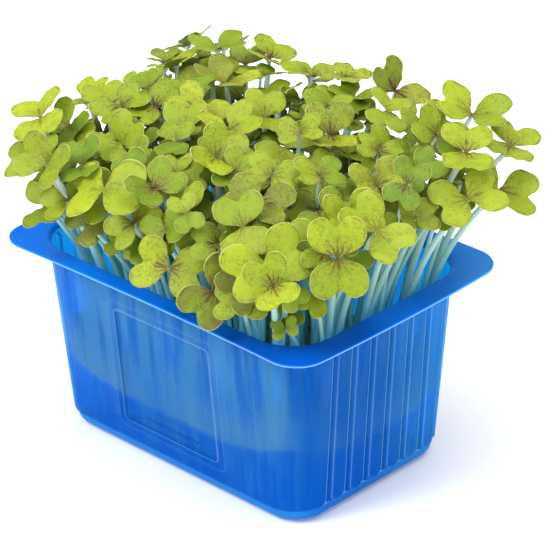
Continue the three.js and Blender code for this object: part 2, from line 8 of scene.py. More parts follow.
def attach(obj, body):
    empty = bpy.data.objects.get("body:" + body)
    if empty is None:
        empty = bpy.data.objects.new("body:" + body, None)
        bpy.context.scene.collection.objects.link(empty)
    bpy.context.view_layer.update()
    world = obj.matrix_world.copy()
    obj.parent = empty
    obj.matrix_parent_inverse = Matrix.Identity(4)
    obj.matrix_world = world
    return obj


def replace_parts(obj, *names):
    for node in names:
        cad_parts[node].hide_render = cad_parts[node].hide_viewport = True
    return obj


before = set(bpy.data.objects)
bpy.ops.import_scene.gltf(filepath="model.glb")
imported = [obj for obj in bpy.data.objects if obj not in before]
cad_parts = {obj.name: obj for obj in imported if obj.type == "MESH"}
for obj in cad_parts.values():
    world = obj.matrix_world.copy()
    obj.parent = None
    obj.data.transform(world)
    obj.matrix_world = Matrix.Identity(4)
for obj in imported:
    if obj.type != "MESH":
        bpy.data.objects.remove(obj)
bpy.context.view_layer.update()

# The tray
# One sheet of clear blue plastic, formed over a mould: a flat flange round the rim, leaning walls with
# seven flutes in each short side and a double frame in one long side, a small step and a low foot.
MM = 0.001
RIM = (136, 98)
RIM_RADIUS = 10.5
TRAY_HEIGHT = 69
FLANGE_WIDTH = 7.6
FLANGE_THICKNESS = 0.8
SHEET = 0.8
WALL_DRAFT = 0.075
WALL_RADII = (12.5, 15.5)
STEP_HEIGHT = 5
STEP_INSET = 1.05
FOOT_HEIGHT = 1
FOOT_HALF = (50.6, 28.5)
FOOT_RADIUS = 8
FOOT_SPREAD = 0.6
FOOT_SQUEEZE = 0.8
BASE_ROUND = 2
STEP_RISE = 0.8
RIM_BOW = 1.5
RIM_ROUND = 1.4
RIM_DIP = 0.12
LIP_OUT = 0.9
LIP_DROP = 1.6
FLUTES = 7
FLUTE_PITCH = 8.7
FLUTE_MIDDLE = 3.5
FLUTE_HALF = 1.3
FLUTE_TOP = 64.5
FLUTE_END = 1.4
FLUTE_OFFSETS = (-3.8, -2.8, -2, -1.5, -1.25, -1, -0.7, -0.35, 0, 0.35, 0.7, 1, 1.4, 2, 2.8, 3.8)
# Where the flutes get painted highlights and painted shade lines, across the flute in half widths: place,
# half width and strength
FLUTE_LIGHT = ((-0.9, 0.22, 1), (1.1, 0.32, 0.42))
FLUTE_DARK = ((-0.1, 0.55, 1),)
PANEL_CORNER = 2.6
FRAMES = (
    {"half": 21.2, "low": 13.3, "high": 55.2, "line": 1.1, "proud": 0.5, "corner": 1.5, "shine": 1},
    {"half": 23.9, "low": 10.6, "high": 57.9, "line": 0.8, "proud": 0.3, "corner": 2.2, "shine": 0.5},
)
BAR = {"half": 12, "low": 16.2, "high": 17.2, "proud": 0.4, "corner": 0.4}
# The painted highlights and painted shade lines on a frame line and on the bar: place outward from it, half
# width and strength
FRAME_LIGHT = (0.35, 0.42, 0.42)
FRAME_DARK = (-0.42, 0.55, 1)
BAR_LIGHT = (-0.5, 0.3, 0.35)
BAR_DARK = (0.05, 0.45, 1)
# Where the walls have points, along the front and upwards, besides those on the lines
FRONT_PLACES = (-44, -36, -30, -18, -12, -6, 0, 6, 12, 18, 30, 36, 44)
FRONT_LEVELS = (8, 9.2, 20, 26, 34, 42, 48, 52, 60, 62.5)
LINE_SHARES = (-1.4, -1, -0.6, -0.3, 0, 0.3, 0.6, 1, 1.4)
BAR_STEPS = (-0.25, 0, 0.2)
CORNER_SHARES = tuple(i / 9 for i in range(1, 9))
# The foot, the rim's edge and the floor inside, each as levels: height, how far out and, for the foot and
# the rim's edge, how strong a painted highlight is there
UNDER_RIM = TRAY_HEIGHT - FLANGE_THICKNESS
FOOT_PROFILE = ((0, -0.5, 0), (0.12, -0.1, 0), (0.4, 0.15, 0), (FOOT_HEIGHT, FOOT_SPREAD, 0.4))
RIM_PROFILE = ((UNDER_RIM, -5, 0), (UNDER_RIM, -1, 0), (UNDER_RIM - 0.3, -0.45, 0.2),
               (UNDER_RIM - 0.25, -0.1, 0.9), (UNDER_RIM + 0.2, 0, 0.3), (TRAY_HEIGHT - 0.25, 0, 0),
               (TRAY_HEIGHT - 0.05, -0.15, 0), (TRAY_HEIGHT, -0.4, 0), (TRAY_HEIGHT - RIM_DIP, -0.9, 0),
               (TRAY_HEIGHT - RIM_DIP, -4, 0))
FLOOR_PROFILE = ((1.2, 0), (0.4, -0.4), (0, -1.6))
MAT_UNDERSIDE = 22
MAT_CURL = 10
MAT_GAP = 0.35

mat_half = [side / 2 - FLANGE_WIDTH - WALL_DRAFT * (TRAY_HEIGHT - MAT_UNDERSIDE) - SHEET - MAT_GAP
            for side in RIM]
mat_half[0] -= STEP_INSET


def flute_stations():
    middles = [FLUTE_MIDDLE + (i - (FLUTES - 1) / 2) * FLUTE_PITCH for i in range(FLUTES)]
    return [(middle + offset, offset) for middle in middles for offset in FLUTE_OFFSETS]


def line_stations(centres, line):
    return [centre + line * share for centre in centres for share in LINE_SHARES]


def frame_stations():
    found = list(FRONT_PLACES)
    for line in FRAMES:
        found += line_stations((-line["half"], line["half"]), line["line"] * 0.6)
        found += [way * (line["half"] - line["corner"]) for way in (-1, 1)]
    found += line_stations((-BAR["half"], BAR["half"]), 0.3)
    return sorted(set(round(along, 3) for along in found))


def wall_levels():
    found = list(FRONT_LEVELS)
    for line in FRAMES:
        found += line_stations((line["low"], line["high"]), line["line"] * 0.6)
        found += [line["low"] + line["corner"], line["high"] - line["corner"]]
    found += [BAR["low"] + step for step in BAR_STEPS] + [BAR["high"] - step for step in BAR_STEPS]
    return sorted(set(round(level, 3) for level in found))


def rounded_distance(x, y, half_x, half_y, corner):
    """How far a point is outside a rectangle with rounded corners."""
    over_x = abs(x) - half_x + corner
    over_y = abs(y) - half_y + corner
    return math.hypot(max(over_x, 0), max(over_y, 0)) + min(max(over_x, over_y), 0) - corner


def line_distance(line, x, z):
    """How far a place on the front wall is outside a frame line's path, or outside the bar."""
    middle = (line["low"] + line["high"]) / 2
    half_z = (line["high"] - line["low"]) / 2
    return rounded_distance(x, z - middle, line["half"], half_z, line["corner"])


def eased(share):
    share = min(1, max(0, share))
    return share * share * (3 - 2 * share)


def frame_relief(x, z):
    """How far the framed wall stands out at one place: two frame lines and a short bar."""
    height = BAR["proud"] * eased(0.5 - line_distance(BAR, x, z) / 0.5)
    for line in FRAMES:
        away = abs(line_distance(line, x, z))
        height = max(height, line["proud"] * eased(1.5 - 2 * away / line["line"]))
    return height


def flute_half(z):
    """A flute is wider where it meets the step, so that the panels end in round corners."""
    rise = z - STEP_HEIGHT
    if rise >= PANEL_CORNER:
        return FLUTE_HALF
    corner = math.sqrt(max(0, PANEL_CORNER ** 2 - (PANEL_CORNER - max(0, rise)) ** 2))
    return FLUTE_HALF + PANEL_CORNER - corner


def flute_depth(offset, z):
    return 0.5 + 0.5 * math.cos(math.pi * min(1, abs(offset) / flute_half(z)))


def glint(distance, centre, half, strength):
    """How strongly one painted line of light or shade shows at a distance."""
    return strength * max(0, 1 - abs(distance - centre) / half)


def flute_glint(offset, z, lines):
    return max(glint(offset / flute_half(z), *line) for line in lines)


def frame_glints(x, z):
    """How strong the painted highlight and painted shade are on the front: a painted pale line on each ridge
    with a painted dark line on its inner side.
    """
    away = line_distance(BAR, x, z)
    light, dark = glint(away, *BAR_LIGHT), glint(away, *BAR_DARK)
    for line in FRAMES:
        away = line_distance(line, x, z)
        light = max(light, line["shine"] * glint(away, *FRAME_LIGHT))
        dark = max(dark, line["shine"] * glint(away, *FRAME_DARK))
    return light, dark


def tray_ring(half, radius, z, flute=0, relief=0, bow=0, squeeze=1, bright=0):
    """One outline of the tray, anticlockwise from above: places, each with its painted highlight and painted
    shade.
    """
    ring = []
    for side in range(4):
        out = (math.cos(side * math.pi / 2), math.sin(side * math.pi / 2))
        reach, straight = (half[1], half[0] - radius) if side % 2 else (half[0], half[1] - radius)
        places = [(along, None) for along in frame_stations()] if side % 2 else flute_stations()
        places = [(along * squeeze, offset) for along, offset in places]
        corner = straight + radius * math.pi / 4
        first, last = places[0][0], places[-1][0]
        before = [(first + (-corner - first) * share, None) for share in reversed(CORNER_SHARES)]
        after = [(last + (corner - last) * share, None) for share in CORNER_SHARES + (1,)]
        for along, offset in before + places + after:
            turn = max(0, abs(along) - straight) / radius
            way = math.copysign(1, along)
            channel = flute * flute_depth(offset, z) if offset is not None else 0
            raised = relief * frame_relief(along, z) if side == 3 else 0
            ahead = reach - radius + (radius - channel + raised) * math.cos(turn)
            aside = way * (min(abs(along), straight) + (radius - channel) * math.sin(turn))
            x = out[0] * ahead - out[1] * aside
            y = out[1] * ahead + out[0] * aside
            if side == 0:
                x += bow * (1 - (y / half[1]) ** 2)
            if side == 3:
                y += bow * (1 - (x / half[0]) ** 2)
            # Painted highlight and painted shade here: the ring's own painted highlight, those of the
            # flutes, and on the front those of the frame
            light, dark = bright, 0
            if offset is not None and flute:
                light = max(light, flute_glint(offset, z, FLUTE_LIGHT))
                dark = flute_glint(offset, z, FLUTE_DARK)
            if side == 3 and relief:
                light, dark = frame_glints(along, z)
            ring.append((x, y, z, light, dark))
    return ring


def wall_ring(z, moved, **more):
    fall = WALL_DRAFT * (TRAY_HEIGHT - z)
    half = [side / 2 - FLANGE_WIDTH - fall + moved for side in RIM]
    radius = WALL_RADII[0] + (WALL_RADII[1] - WALL_RADII[0]) * z / TRAY_HEIGHT + moved
    return tray_ring(half, radius, z, **more)


def rim_ring(z, moved, bright):
    half = [side / 2 + moved for side in RIM]
    return tray_ring(half, RIM_RADIUS + moved, z, bow=RIM_BOW, bright=bright)


def foot_ring(z, moved, bright):
    half = [side + moved for side in FOOT_HALF]
    return tray_ring(half, FOOT_RADIUS + moved, z, squeeze=FOOT_SQUEEZE, bright=bright)


def turned(radius, angle):
    """How far up and how far out a rounded edge has gone when it has turned by an angle in degrees."""
    return radius * (1 - math.cos(math.radians(angle))), radius * (1 - math.sin(math.radians(angle)))


def tray_rings():
    """The outlines of the tray from the foot up its outside, over the rim and down its inside."""
    skirt = -STEP_INSET
    wall = {"flute": STEP_INSET, "relief": 1}
    steps = (0, 0.2, 0.5, 0.8, 1)
    up = [foot_ring(*level) for level in FOOT_PROFILE]
    for angle in (0, 22, 45, 68, 90):
        rise, inset = turned(BASE_ROUND, angle)
        up.append(wall_ring(FOOT_HEIGHT + rise, skirt - inset))
    up.append(wall_ring(STEP_HEIGHT - 0.7, skirt))
    for share in steps:
        rise = STEP_HEIGHT + STEP_RISE * (share - 0.5)
        # A painted highlight along the step's edge
        lit = 0.55 if share in (0.5, 0.8) else 0
        up.append(wall_ring(rise, skirt * (1 - eased(share)), flute=STEP_INSET * share, bright=lit))
    climb = [STEP_HEIGHT + rise for rise in (0.8, 1.4, 2, 2.6)] + wall_levels() + [FLUTE_TOP]
    up += [wall_ring(z, 0, **wall) for z in climb]
    ends = [(FLUTE_TOP + FLUTE_END * share, STEP_INSET * (1 - eased(share))) for share in steps]
    # A painted highlight where the flutes end below the rim
    up += [wall_ring(z, 0, flute=depth, bright=lit) for (z, depth), lit in zip(ends[1:], (0, 0, 0.5, 0))]
    for angle in (30, 60, 90):
        out, drop = turned(RIM_ROUND, angle)
        up.append(wall_ring(UNDER_RIM - drop, out))
    up += [rim_ring(*level) for level in RIM_PROFILE]
    down = []
    for angle in (0, 30, 60, 90):
        sunk = turned(LIP_DROP, angle)[0]
        inward = (LIP_OUT + SHEET) * math.sin(math.radians(angle))
        down.append(wall_ring(TRAY_HEIGHT - RIM_DIP - sunk, LIP_OUT - inward))
    down += [wall_ring(z, -SHEET, flute=depth) for z, depth in reversed(ends)]
    down += [wall_ring(z, -SHEET, **wall) for z in reversed(wall_levels())]
    down += [wall_ring(z, -SHEET, **wall) for z in (STEP_HEIGHT + 2.6, STEP_HEIGHT + 1.4, STEP_HEIGHT + 0.9)]
    down.append(wall_ring(STEP_HEIGHT, skirt - SHEET))
    floor = FOOT_HEIGHT + SHEET
    return up + down + [wall_ring(floor + rise, skirt - SHEET + moved) for rise, moved in FLOOR_PROFILE]


def add_piece(name, points, faces):
    """A mesh object from points in millimetres."""
    mesh = bpy.data.meshes.new(name)
    mesh.from_pydata([tuple(c * MM for c in point) for point in points], [], faces)
    mesh.polygons.foreach_set("use_smooth", [True] * len(mesh.polygons))
    mesh.update()
    piece = bpy.data.objects.new(name, mesh)
    bpy.context.scene.collection.objects.link(piece)
    return piece


def lofted(rings, start=0):
    """Faces of a closed skin over rings with the same number of points, flat at both ends."""
    count = len(rings[0])
    faces = [tuple(start + i for i in reversed(range(count)))]
    for row in range(len(rings) - 1):
        for i in range(count):
            a = start + row * count + i
            b = start + row * count + (i + 1) % count
            faces.append((a, b, b + count, a + count))
    faces.append(tuple(start + (len(rings) - 1) * count + i for i in range(count)))
    return faces


class Shade:
    """One output of a material's nodes, so that shader maths reads as sums."""

    def __init__(self, tree, socket=None):
        self.tree = tree
        self.socket = socket

    def node(self, kind, settings=None, sockets=None, output=0):
        made = self.tree.nodes.new(kind)
        for name, value in (settings or {}).items():
            setattr(made, name, value)
        for name, value in (sockets or {}).items():
            if isinstance(value, Shade):
                self.tree.links.new(value.socket, made.inputs[name])
            else:
                made.inputs[name].default_value = value
        return Shade(self.tree, made.outputs[output] if made.outputs else None)

    def sum(self, operation, first, second=0):
        return self.node("ShaderNodeMath", {"operation": operation}, {0: first, 1: second})

    def __add__(self, other):
        return self.sum("ADD", self, other)

    def __sub__(self, other):
        return self.sum("SUBTRACT", self, other)

    def __rsub__(self, other):
        return self.sum("SUBTRACT", other, self)

    def __mul__(self, other):
        return self.sum("MULTIPLY", self, other)

    def __truediv__(self, other):
        return self.sum("DIVIDE", self, other)

    def __rtruediv__(self, other):
        return self.sum("DIVIDE", other, self)

    def __pow__(self, other):
        return self.sum("POWER", self, other)

    __radd__ = __add__
    __rmul__ = __mul__

    def step(self, low, high):
        """Rises smoothly from 0 to 1 as this goes from low to high."""
        settings = {"interpolation_type": "SMOOTHSTEP"}
        return self.node("ShaderNodeMapRange", settings, {"Value": self, "From Min": low, "From Max": high})

    def tint(self, first, second):
        """The first colour where this is 0 and the second where it is 1."""
        return self.node("ShaderNodeMix", {"data_type": "RGBA"}, {0: self, 6: first, 7: second}, output=2)

    def part(self, name):
        """One coordinate of a place."""
        return self.node("ShaderNodeSeparateXYZ", None, {0: self}, name)

    def channel(self, name):
        """One of the three values that a mark on the mesh holds."""
        return self.node("ShaderNodeSeparateColor", None, {0: self}, name)

    def noise(self, scale, detail=3, rough=0.5):
        sockets = {"Vector": self, "Scale": scale, "Detail": detail, "Roughness": rough}
        return self.node("ShaderNodeTexNoise", None, sockets)

    def stretched(self, scale):
        return self.node("ShaderNodeMapping", None, {"Vector": self, "Scale": scale})

    def bump(self, strength, depth):
        """The surface's slope where this is its height."""
        sockets = {"Strength": strength, "Distance": depth, "Height": self}
        return self.node("ShaderNodeBump", None, sockets)


def paint(red, green, blue):
    """A screen colour as the light it stands for."""
    shares = (red / 255, green / 255, blue / 255)
    light = [share / 12.92 if share <= 0.04045 else ((share + 0.055) / 1.055) ** 2.4 for share in shares]
    return (*light, 1)


def new_material(name):
    """A material, the start of its nodes, and the place of each point on the surface."""
    material = bpy.data.materials.new(name)
    material.use_nodes = True
    material.node_tree.nodes.clear()
    shade = Shade(material.node_tree)
    return material, shade, shade.node("ShaderNodeNewGeometry", None, None, "Position")


def layered(colour, layers):
    """A colour with others laid over it, each as strongly as its share says."""
    for share, layer in layers:
        colour = share.tint(colour, paint(*layer))
    return colour


def finish_material(shade, surface):
    shade.node("ShaderNodeOutputMaterial", None, {"Surface": surface})


def blue_plastic():
    """Clear blue plastic: light goes through the thin wall, much less through the flange. Its colour varies
    where the sheet is drawn thin,
    and carries painted light: painted highlights and shade lines at the flutes, the frame and the edges, a
    painted sheen high on the walls, painted shade and light on the short side and the flange, and the lit
    mat painted where it shows through the wall."""
    material, shade, place = new_material("clear_blue_plastic")
    marks = shade.node("ShaderNodeAttribute", {"attribute_name": "tray_painted_light_and_shade"}, None, "Color")
    light, dark = marks.channel("Red"), marks.channel("Green")
    x, y, height = place.part("X"), place.part("Y"), place.part("Z")
    cloud = place.noise(38, 3)
    drawn = place.stretched((1, 1, 0.06)).noise(230, 3)
    fine = place.stretched((1, 1, 0.05)).noise(900, 2)
    # The lit mat shows through the wall from its curled underside up, painted on the wall as a patchy pale
    # band of light
    curl = (x / (mat_half[0] * MM)) ** 4 * (y / (mat_half[1] * MM)) ** 4
    above_mat = height - (curl * MAT_CURL + MAT_UNDERSIDE) * MM
    painted_mat_glow = above_mat.step(-0.0012, 0.0016) * (1 - above_mat.step(0.004, 0.024))
    # The skirt below the step is pale, and the short side carries painted shade and light: deep blue in
    # front, where it is turned from the key light, and pale at its far end
    skirt = 1 - height.step(0.0046, 0.0056)
    side_wall = x.step(0.051, 0.0555)
    # The wall is painted darker low down as painted shade and paler high up as a painted sheen, with random
    # streaks of thin sheet over it
    wall_colour = layered(height.step(0.006, 0.066).tint(paint(30, 126, 208), paint(92, 170, 212)), (
        (drawn.step(0.4, 0.62) * 0.7, (0, 108, 208)),
        (fine.step(0.48, 0.72) * 0.3, (84, 168, 226)),
        (painted_mat_glow * cloud.step(0.25, 0.75) * 0.6, (116, 178, 190)),
        (skirt * 0.8, (66, 174, 244)),
    ))
    side_colour = y.step(-0.012, 0.032).tint(paint(0, 106, 204), paint(66, 174, 228))
    wall_colour = (side_wall * 0.6).tint(wall_colour, side_colour)
    # The flange has painted shade, deep blue near the front corner, is clear blue elsewhere and has painted
    # light, palest at its far corner
    flange = height.step(0.0663, 0.0679)
    far_rim = 1 - (x - y).step(0.03, 0.11)
    far_corner = (x + y).step(0.082, 0.112)
    rim_share = far_rim * 0.75 + cloud.step(0.3, 0.7) * 0.25
    rim_colour = rim_share.tint(paint(0, 78, 182), paint(0, 124, 248))
    rim_colour = (far_corner * 0.8).tint(rim_colour, paint(70, 164, 255))
    colour = flange.tint(wall_colour, rim_colour)
    # Painted highlights and painted shade lines at the flutes, the frame, the bar, the step, the foot and
    # the rim's edge
    colour = layered(colour, ((dark * 0.9, (0, 44, 122)), (light * 0.9, (160, 216, 255))))
    height_map = place.noise(1300, 2) * 0.2 + drawn + cloud * 2
    solid = shade.node("ShaderNodeBsdfPrincipled", None, {
        "Base Color": colour,
        "Roughness": 0.18 + drawn * 0.14,
        "IOR": 1.5,
        "Specular IOR Level": 0.06,
        "Specular Tint": paint(110, 190, 255),
        "Normal": height_map.bump(0.1, 0.0006),
    })
    clear = shade.node("ShaderNodeBsdfTransparent", None, {"Color": paint(78, 204, 255)})
    cover = 0.36 + flange * 0.54 + light * 0.4 + dark * 0.5 + skirt * 0.12
    cover = shade.sum("MINIMUM", cover, 0.94)
    finish_material(shade, shade.node("ShaderNodeMixShader", None, {0: cover, 1: clear, 2: solid}))
    return material


rings = tray_rings()
tray_points = np.array([point for ring in rings for point in ring])
tray = add_piece("tray_shell", tray_points[:, :3].tolist(), lofted(rings))
# Each point's painted highlight and painted shade, for the material
marks = tray.data.attributes.new("tray_painted_light_and_shade", "FLOAT_COLOR", "POINT")
blank = np.zeros((len(tray_points), 2))
marks.data.foreach_set("color", np.hstack([tray_points[:, 3:], blank]).ravel())
tray.data.materials.append(blue_plastic())
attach(tray, "root")
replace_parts(tray, "tray")

# The growing mat
# A felt of pale plant fibres, 12 mm thick, cut a little large and wedged between the leaning walls, so
# that its corners curl up. The roots hold it.
MAT_THICKNESS = 12
MAT_CORNER = 13
MAT_ROWS = 56
MAT_RIM_STEPS = 7
MAT_RAGGED = 0.5
MAT_SHRINKS = 0.006
MAT_RING_SHARES = [0.02] + [i / 14 for i in range(1, 14)] + [0.985, 1.0]
FIBRES = 900
FIBRE_SHORTEST = 2
FIBRE_VARIES = 3
FIBRE_ARCH = 0.5
FIBRE_LIFT = 0.35
FIBRE_HALF_WIDTH = 0.09


def mat_lift(x, y):
    return MAT_CURL * (x / mat_half[0]) ** 4 * (y / mat_half[1]) ** 4


def mat_edge(angle, shrink):
    """A place on the mat's outline, drawn in towards its middle by shrink."""
    way = (math.cos(angle), math.sin(angle))
    low, high = 0.0, 100.0
    for _ in range(26):
        reach = (low + high) / 2
        inside = rounded_distance(way[0] * reach, way[1] * reach, mat_half[0], mat_half[1], MAT_CORNER) < 0
        low, high = (reach, high) if inside else (low, reach)
    return way[0] * low * shrink, way[1] * low * shrink


mat_noise = np.random.default_rng(71)
profile = [(share, 0.0) for share in MAT_RING_SHARES]
profile += [(1.0, MAT_THICKNESS * i / MAT_RIM_STEPS) for i in range(1, MAT_RIM_STEPS)]
profile += [(share, MAT_THICKNESS) for share in reversed(MAT_RING_SHARES)]
mat_rings = []
for share, rise in profile:
    ring = []
    for i in range(4 * MAT_ROWS):
        angle = 2 * math.pi * i / (4 * MAT_ROWS)
        edge_x, edge_y = mat_edge(angle, share * (1 - MAT_SHRINKS * mat_noise.random()))
        ragged = MAT_RAGGED * (mat_noise.random() - 0.5)
        ring.append((edge_x, edge_y, MAT_UNDERSIDE + mat_lift(edge_x, edge_y) + rise + ragged))
    mat_rings.append(ring)
mat_points = [point for ring in mat_rings for point in ring]
mat_faces = lofted(mat_rings)

# Loose fibres lie on the felt's top and stand a little off its edge
for _ in range(FIBRES):
    angle = 2 * math.pi * mat_noise.random()
    top = mat_noise.random() < 0.5
    x, y = mat_edge(angle, 0.985 if not top else 0.98 * math.sqrt(mat_noise.random()))
    z = MAT_UNDERSIDE + mat_lift(x, y) + (MAT_THICKNESS if top else MAT_THICKNESS * mat_noise.random())
    lie = 2 * math.pi * mat_noise.random()
    length = FIBRE_SHORTEST + FIBRE_VARIES * mat_noise.random()
    start = len(mat_points)
    for share in (0, 0.5, 1):
        along = length * (share - 0.5)
        fibre_x = x + along * math.cos(lie) * (1 if top else 0.4)
        fibre_y = y + along * math.sin(lie) * (1 if top else 0.4)
        reach = max(1, abs(fibre_x) / mat_half[0], abs(fibre_y) / mat_half[1])
        fibre_z = z + FIBRE_LIFT + (0 if top else 0.7 * along) + FIBRE_ARCH * math.sin(math.pi * share)
        for way in (-1, 1):
            mat_points.append((fibre_x / reach, fibre_y / reach, fibre_z + way * FIBRE_HALF_WIDTH))
    mat_faces += [(start, start + 2, start + 3, start + 1), (start + 2, start + 4, start + 5, start + 3)]


def mat_felt():
    """Felted plant fibres: fine strands that lie both ways, in pale and straw-coloured patches."""
    material, shade, place = new_material("mat_felt")
    lengthwise = place.stretched((0.25, 1, 2)).noise(1300, 4, 0.7)
    strands = place.stretched((1, 0.25, 2)).noise(1400, 4, 0.7) * 0.5 + lengthwise * 0.5
    colour = strands.step(0.35, 0.65).tint(paint(158, 150, 112), paint(232, 226, 190))
    colour = place.noise(90, 3).step(0.35, 0.7).tint(colour, paint(206, 206, 160))
    finish_material(shade, shade.node("ShaderNodeBsdfPrincipled", None, {
        "Base Color": colour,
        "Roughness": 0.95,
        "Normal": strands.bump(0.9, 0.001),
    }))
    return material


mat = add_piece("growing_mat_felt", mat_points, mat_faces)
mat.data.materials.append(mat_felt())
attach(mat, "root")
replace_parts(mat, "growing_mat")

# The seedlings
# Young cress: each is one grown piece, a juicy pale stem that rises from the mat and a pair of notched
# seed leaves on short stalks. Up to three share a root. They stand where the frame's tufts stand.
LEAF_HALF_WIDTH = 9.5
LEAF_LENGTH = 13
SIDE_FLATTENS = 0.4
STEM_UPRIGHT = 0.06
ROOT_HEIGHT = 7.6
FOOT_OFFSET = 0.9
ROOT_SPACING = 7.5
HEAD_REACH = (66, 47)
ROOT_REACH = (48.5, 30.5)
TUFT_PITCH = 18.2
ROW_SHARE = 0.84
TUFT_JITTER = 4
HAND_SPACING = 12.8
CORNER_REACH = 15.5
HEAD_SPREAD = 6.8
GRID_HEADS = (
    {"size": 0.86, "drop": (-3, 5), "sink": 0},
    {"size": 0.74, "drop": (2, 8), "sink": 0.06},
    {"size": 0.64, "drop": (5, 12), "sink": 0.06},
)
LIGHT_NOD = (0.25, -0.3)
HAND_STRAY = 0.16
HAND_SHRINK = 0.003
HAND_FOLD = (0.08, 0.3)
HAND_DROOP = (0, 0.25)
GRID_SHRINK = 0.0035
GRID_LIFT = (0.08, 0.62)
GRID_FOLD = (0, 0.5)
GRID_DROOP = (0, 0.3)
GRID_SWAY = 2.4
GRID_BEND = 1.5
SPREAD_VARIES = (0.5, 0.8)
ASIDE_VARIES = 1.2
SIZE_VARIES = 0.12
NOD_VARIES = 0.6
NOD_OUTWARD = 0.2
CANOPY_HEIGHT = 110
BACK_RISE = 5
EDGE_FALL = 3
TRIES = 110
SEED = 43
LEAF_ROOM = 1.5
STEM_ROOM = 1.7
EDGE_ROOM = 1.6
STEM_SPACING = 2.1
STEM_LEVELS = 24
STEM_FELT = (0.28, 0.99)
NEAR = 36
LEAF_FOOT = -0.8
WALL_ROOM = 1.7
RIM_ROOM = 1.6
SIDE_FEELERS = ((0.25, 0.12), (0.55, 0.15), (0.3, 0.35), (0.85, 0.32), (0.45, 0.58), (0.99, 0.6),
                (0.25, 0.85), (0.68, 0.78), (0.92, 0.84), (0.36, 1), (0.6, 0.98), (0.8, 0.94))
FEELERS = np.array(((0, 0.08), (0, 0.36), (0, 0.7)) + SIDE_FEELERS + tuple((-x, y) for x, y in SIDE_FEELERS))

# Each listed tuft: the place of its root, then for each head its place, how its pair is turned, how
# it nods, how its two leaves lift, its size and how its stem bends.
HAND_TUFTS = (
    ((17, -30.5), (
        ((17.5, -52, 88), 3.4, (0.3, 0), (0.1, 0), 0.95, 3.1),
        ((33, -48.5, 84), 5.2, (0.6, 0), (0.1, 0.1), 0.9, 3.2))),
    ((48.5, -14), (
        ((66, -28, 99), -0.8, (0.4, -0.6), (0, 0.3), 1, 1.9),
        ((67, -12.5, 102.5), 0, (0.3, -0.3), (0.2, 0.2), 0.95, 1.9))),
    ((31, -28), (
        ((49.5, -42, 97), 1.4, (0.4, -0.5), (0.1, 0.1), 1.05, 1.9),
        ((36, -38, 103), 2.4, (0.3, -0.5), (0.2, 0.2), 0.9, 1.9))),
    ((-7, -30.5), (
        ((-15, -48, 103), 3.6, (0.1, -0.4), (0.1, -0.1), 1.1, 1.9),
        ((-3, -47, 95), 1.3, (0.1, -0.4), (0.2, 0.1), 0.75, 1.9))),
    ((48.5, 30.5), (
        ((71, 41, 98), 0.6, (0, -0.4), (0.2, 0.3), 1, 2.2),
        ((65, 53, 107), 2.1, (-0.2, -0.5), (0.3, 0.2), 0.95, 2.2))),
    ((48.5, 18), (
        ((72, 24, 101), 1.4, (0, -0.3), (0.3, 0.1), 1, 2),
        ((64, 33, 111), 2.3, (-0.1, -0.5), (0.3, 0.3), 0.95, 2))),
    ((38.5, 30.5), (
        ((50, 52, 114), 0.5, (0, -0.6), (0.4, 0.4), 1, 2),
        ((51, 44, 97), 1.7, (0, -0.4), (0.2, 0.2), 0.75, 2))),
    ((-47, -26), (
        ((-63, -31, 107), 2.4, (0.2, -0.3), (0.2, 0.2), 1, 1.9),
        ((-55, -42, 99), 0.6, (0.2, -0.3), (0.2, 0.2), 0.8, 1.9))),
)


def draws_from(seed):
    """Random draws from 0 to 1, the same on every run."""
    state = seed
    while True:
        state = state * 16807 % 2147483647
        yield state / 2147483647


def strayed(draw, width):
    """A draw to either side of 0, over a width in all."""
    return width * (next(draw) - 0.5)


def leaf_pair(draw, least, varies):
    """A draw for each of two leaves."""
    return [least + varies * next(draw) for _ in (0, 1)]


def unit(vector):
    return vector / np.linalg.norm(vector)


def leaf_rise(x, y, half, full, fold, droop):
    """How far a blade stands above its own flat plane: it folds up at its sides and droops to its tip."""
    side = np.abs(x) / half
    return half * fold * side * (1 - SIDE_FLATTENS * side) - full * droop * (y / full) ** 2


class Seedling:
    """One seedling's stem and pair of leaves, with the places where its room is measured."""

    def __init__(self, root, foot, head, bend, sway, turn, nod, lift, fold, droop, size):
        self.root, self.foot, self.head = np.array(root), np.array(foot), np.array(head, float)
        self.bend, self.sway, self.turn, self.size = bend, sway, turn, size
        self.fold, self.droop = np.array(fold), np.array(droop)
        self.half_width, self.length = LEAF_HALF_WIDTH * size, LEAF_LENGTH * size
        rise = self.head[2] - self.foot[2]
        lean = bend * (self.head[:2] - self.foot[:2]) / rise + np.array(nod)
        up = unit(np.array([lean[0], lean[1], 1]))
        level = np.array([math.cos(turn), math.sin(turn), 0])
        axis = unit(level - up * level.dot(up))
        along, across = [], []
        for way, leaf_lift in zip((1, -1), lift):
            along.append(axis * way * math.cos(leaf_lift) + up * math.sin(leaf_lift))
            across.append(np.cross(axis * way, up))
        self.along, self.across = np.array(along), np.array(across)
        self.up = np.cross(self.across, self.along)
        felt_x, felt_y = FEELERS[:, 0] * self.half_width, FEELERS[:, 1] * self.length
        self.blades = np.array([self.blade(i, felt_x, felt_y) for i in (0, 1)])
        self.stem = self.stem_at(np.linspace(*STEM_FELT, STEM_LEVELS))

    def stem_at(self, t):
        gone = (np.maximum(0, t - STEM_UPRIGHT) / (1 - STEM_UPRIGHT)) ** self.bend
        swing = self.sway * np.sin(np.pi * t) ** 2
        flat = self.foot[:2] + (self.head[:2] - self.foot[:2]) * gone[:, None]
        flat = flat + swing[:, None] * np.array([math.sin(self.turn), math.cos(self.turn)])
        return np.column_stack([flat, self.foot[2] + (self.head[2] - self.foot[2]) * t])

    def blade(self, i, x, y, above=0):
        lift = leaf_rise(x, y, self.half_width, self.length, self.fold[i], self.droop[i]) + above
        return self.head + np.multiply.outer(x, self.across[i]) + np.multiply.outer(y, self.along[i]) \
            + np.multiply.outer(lift, self.up[i])


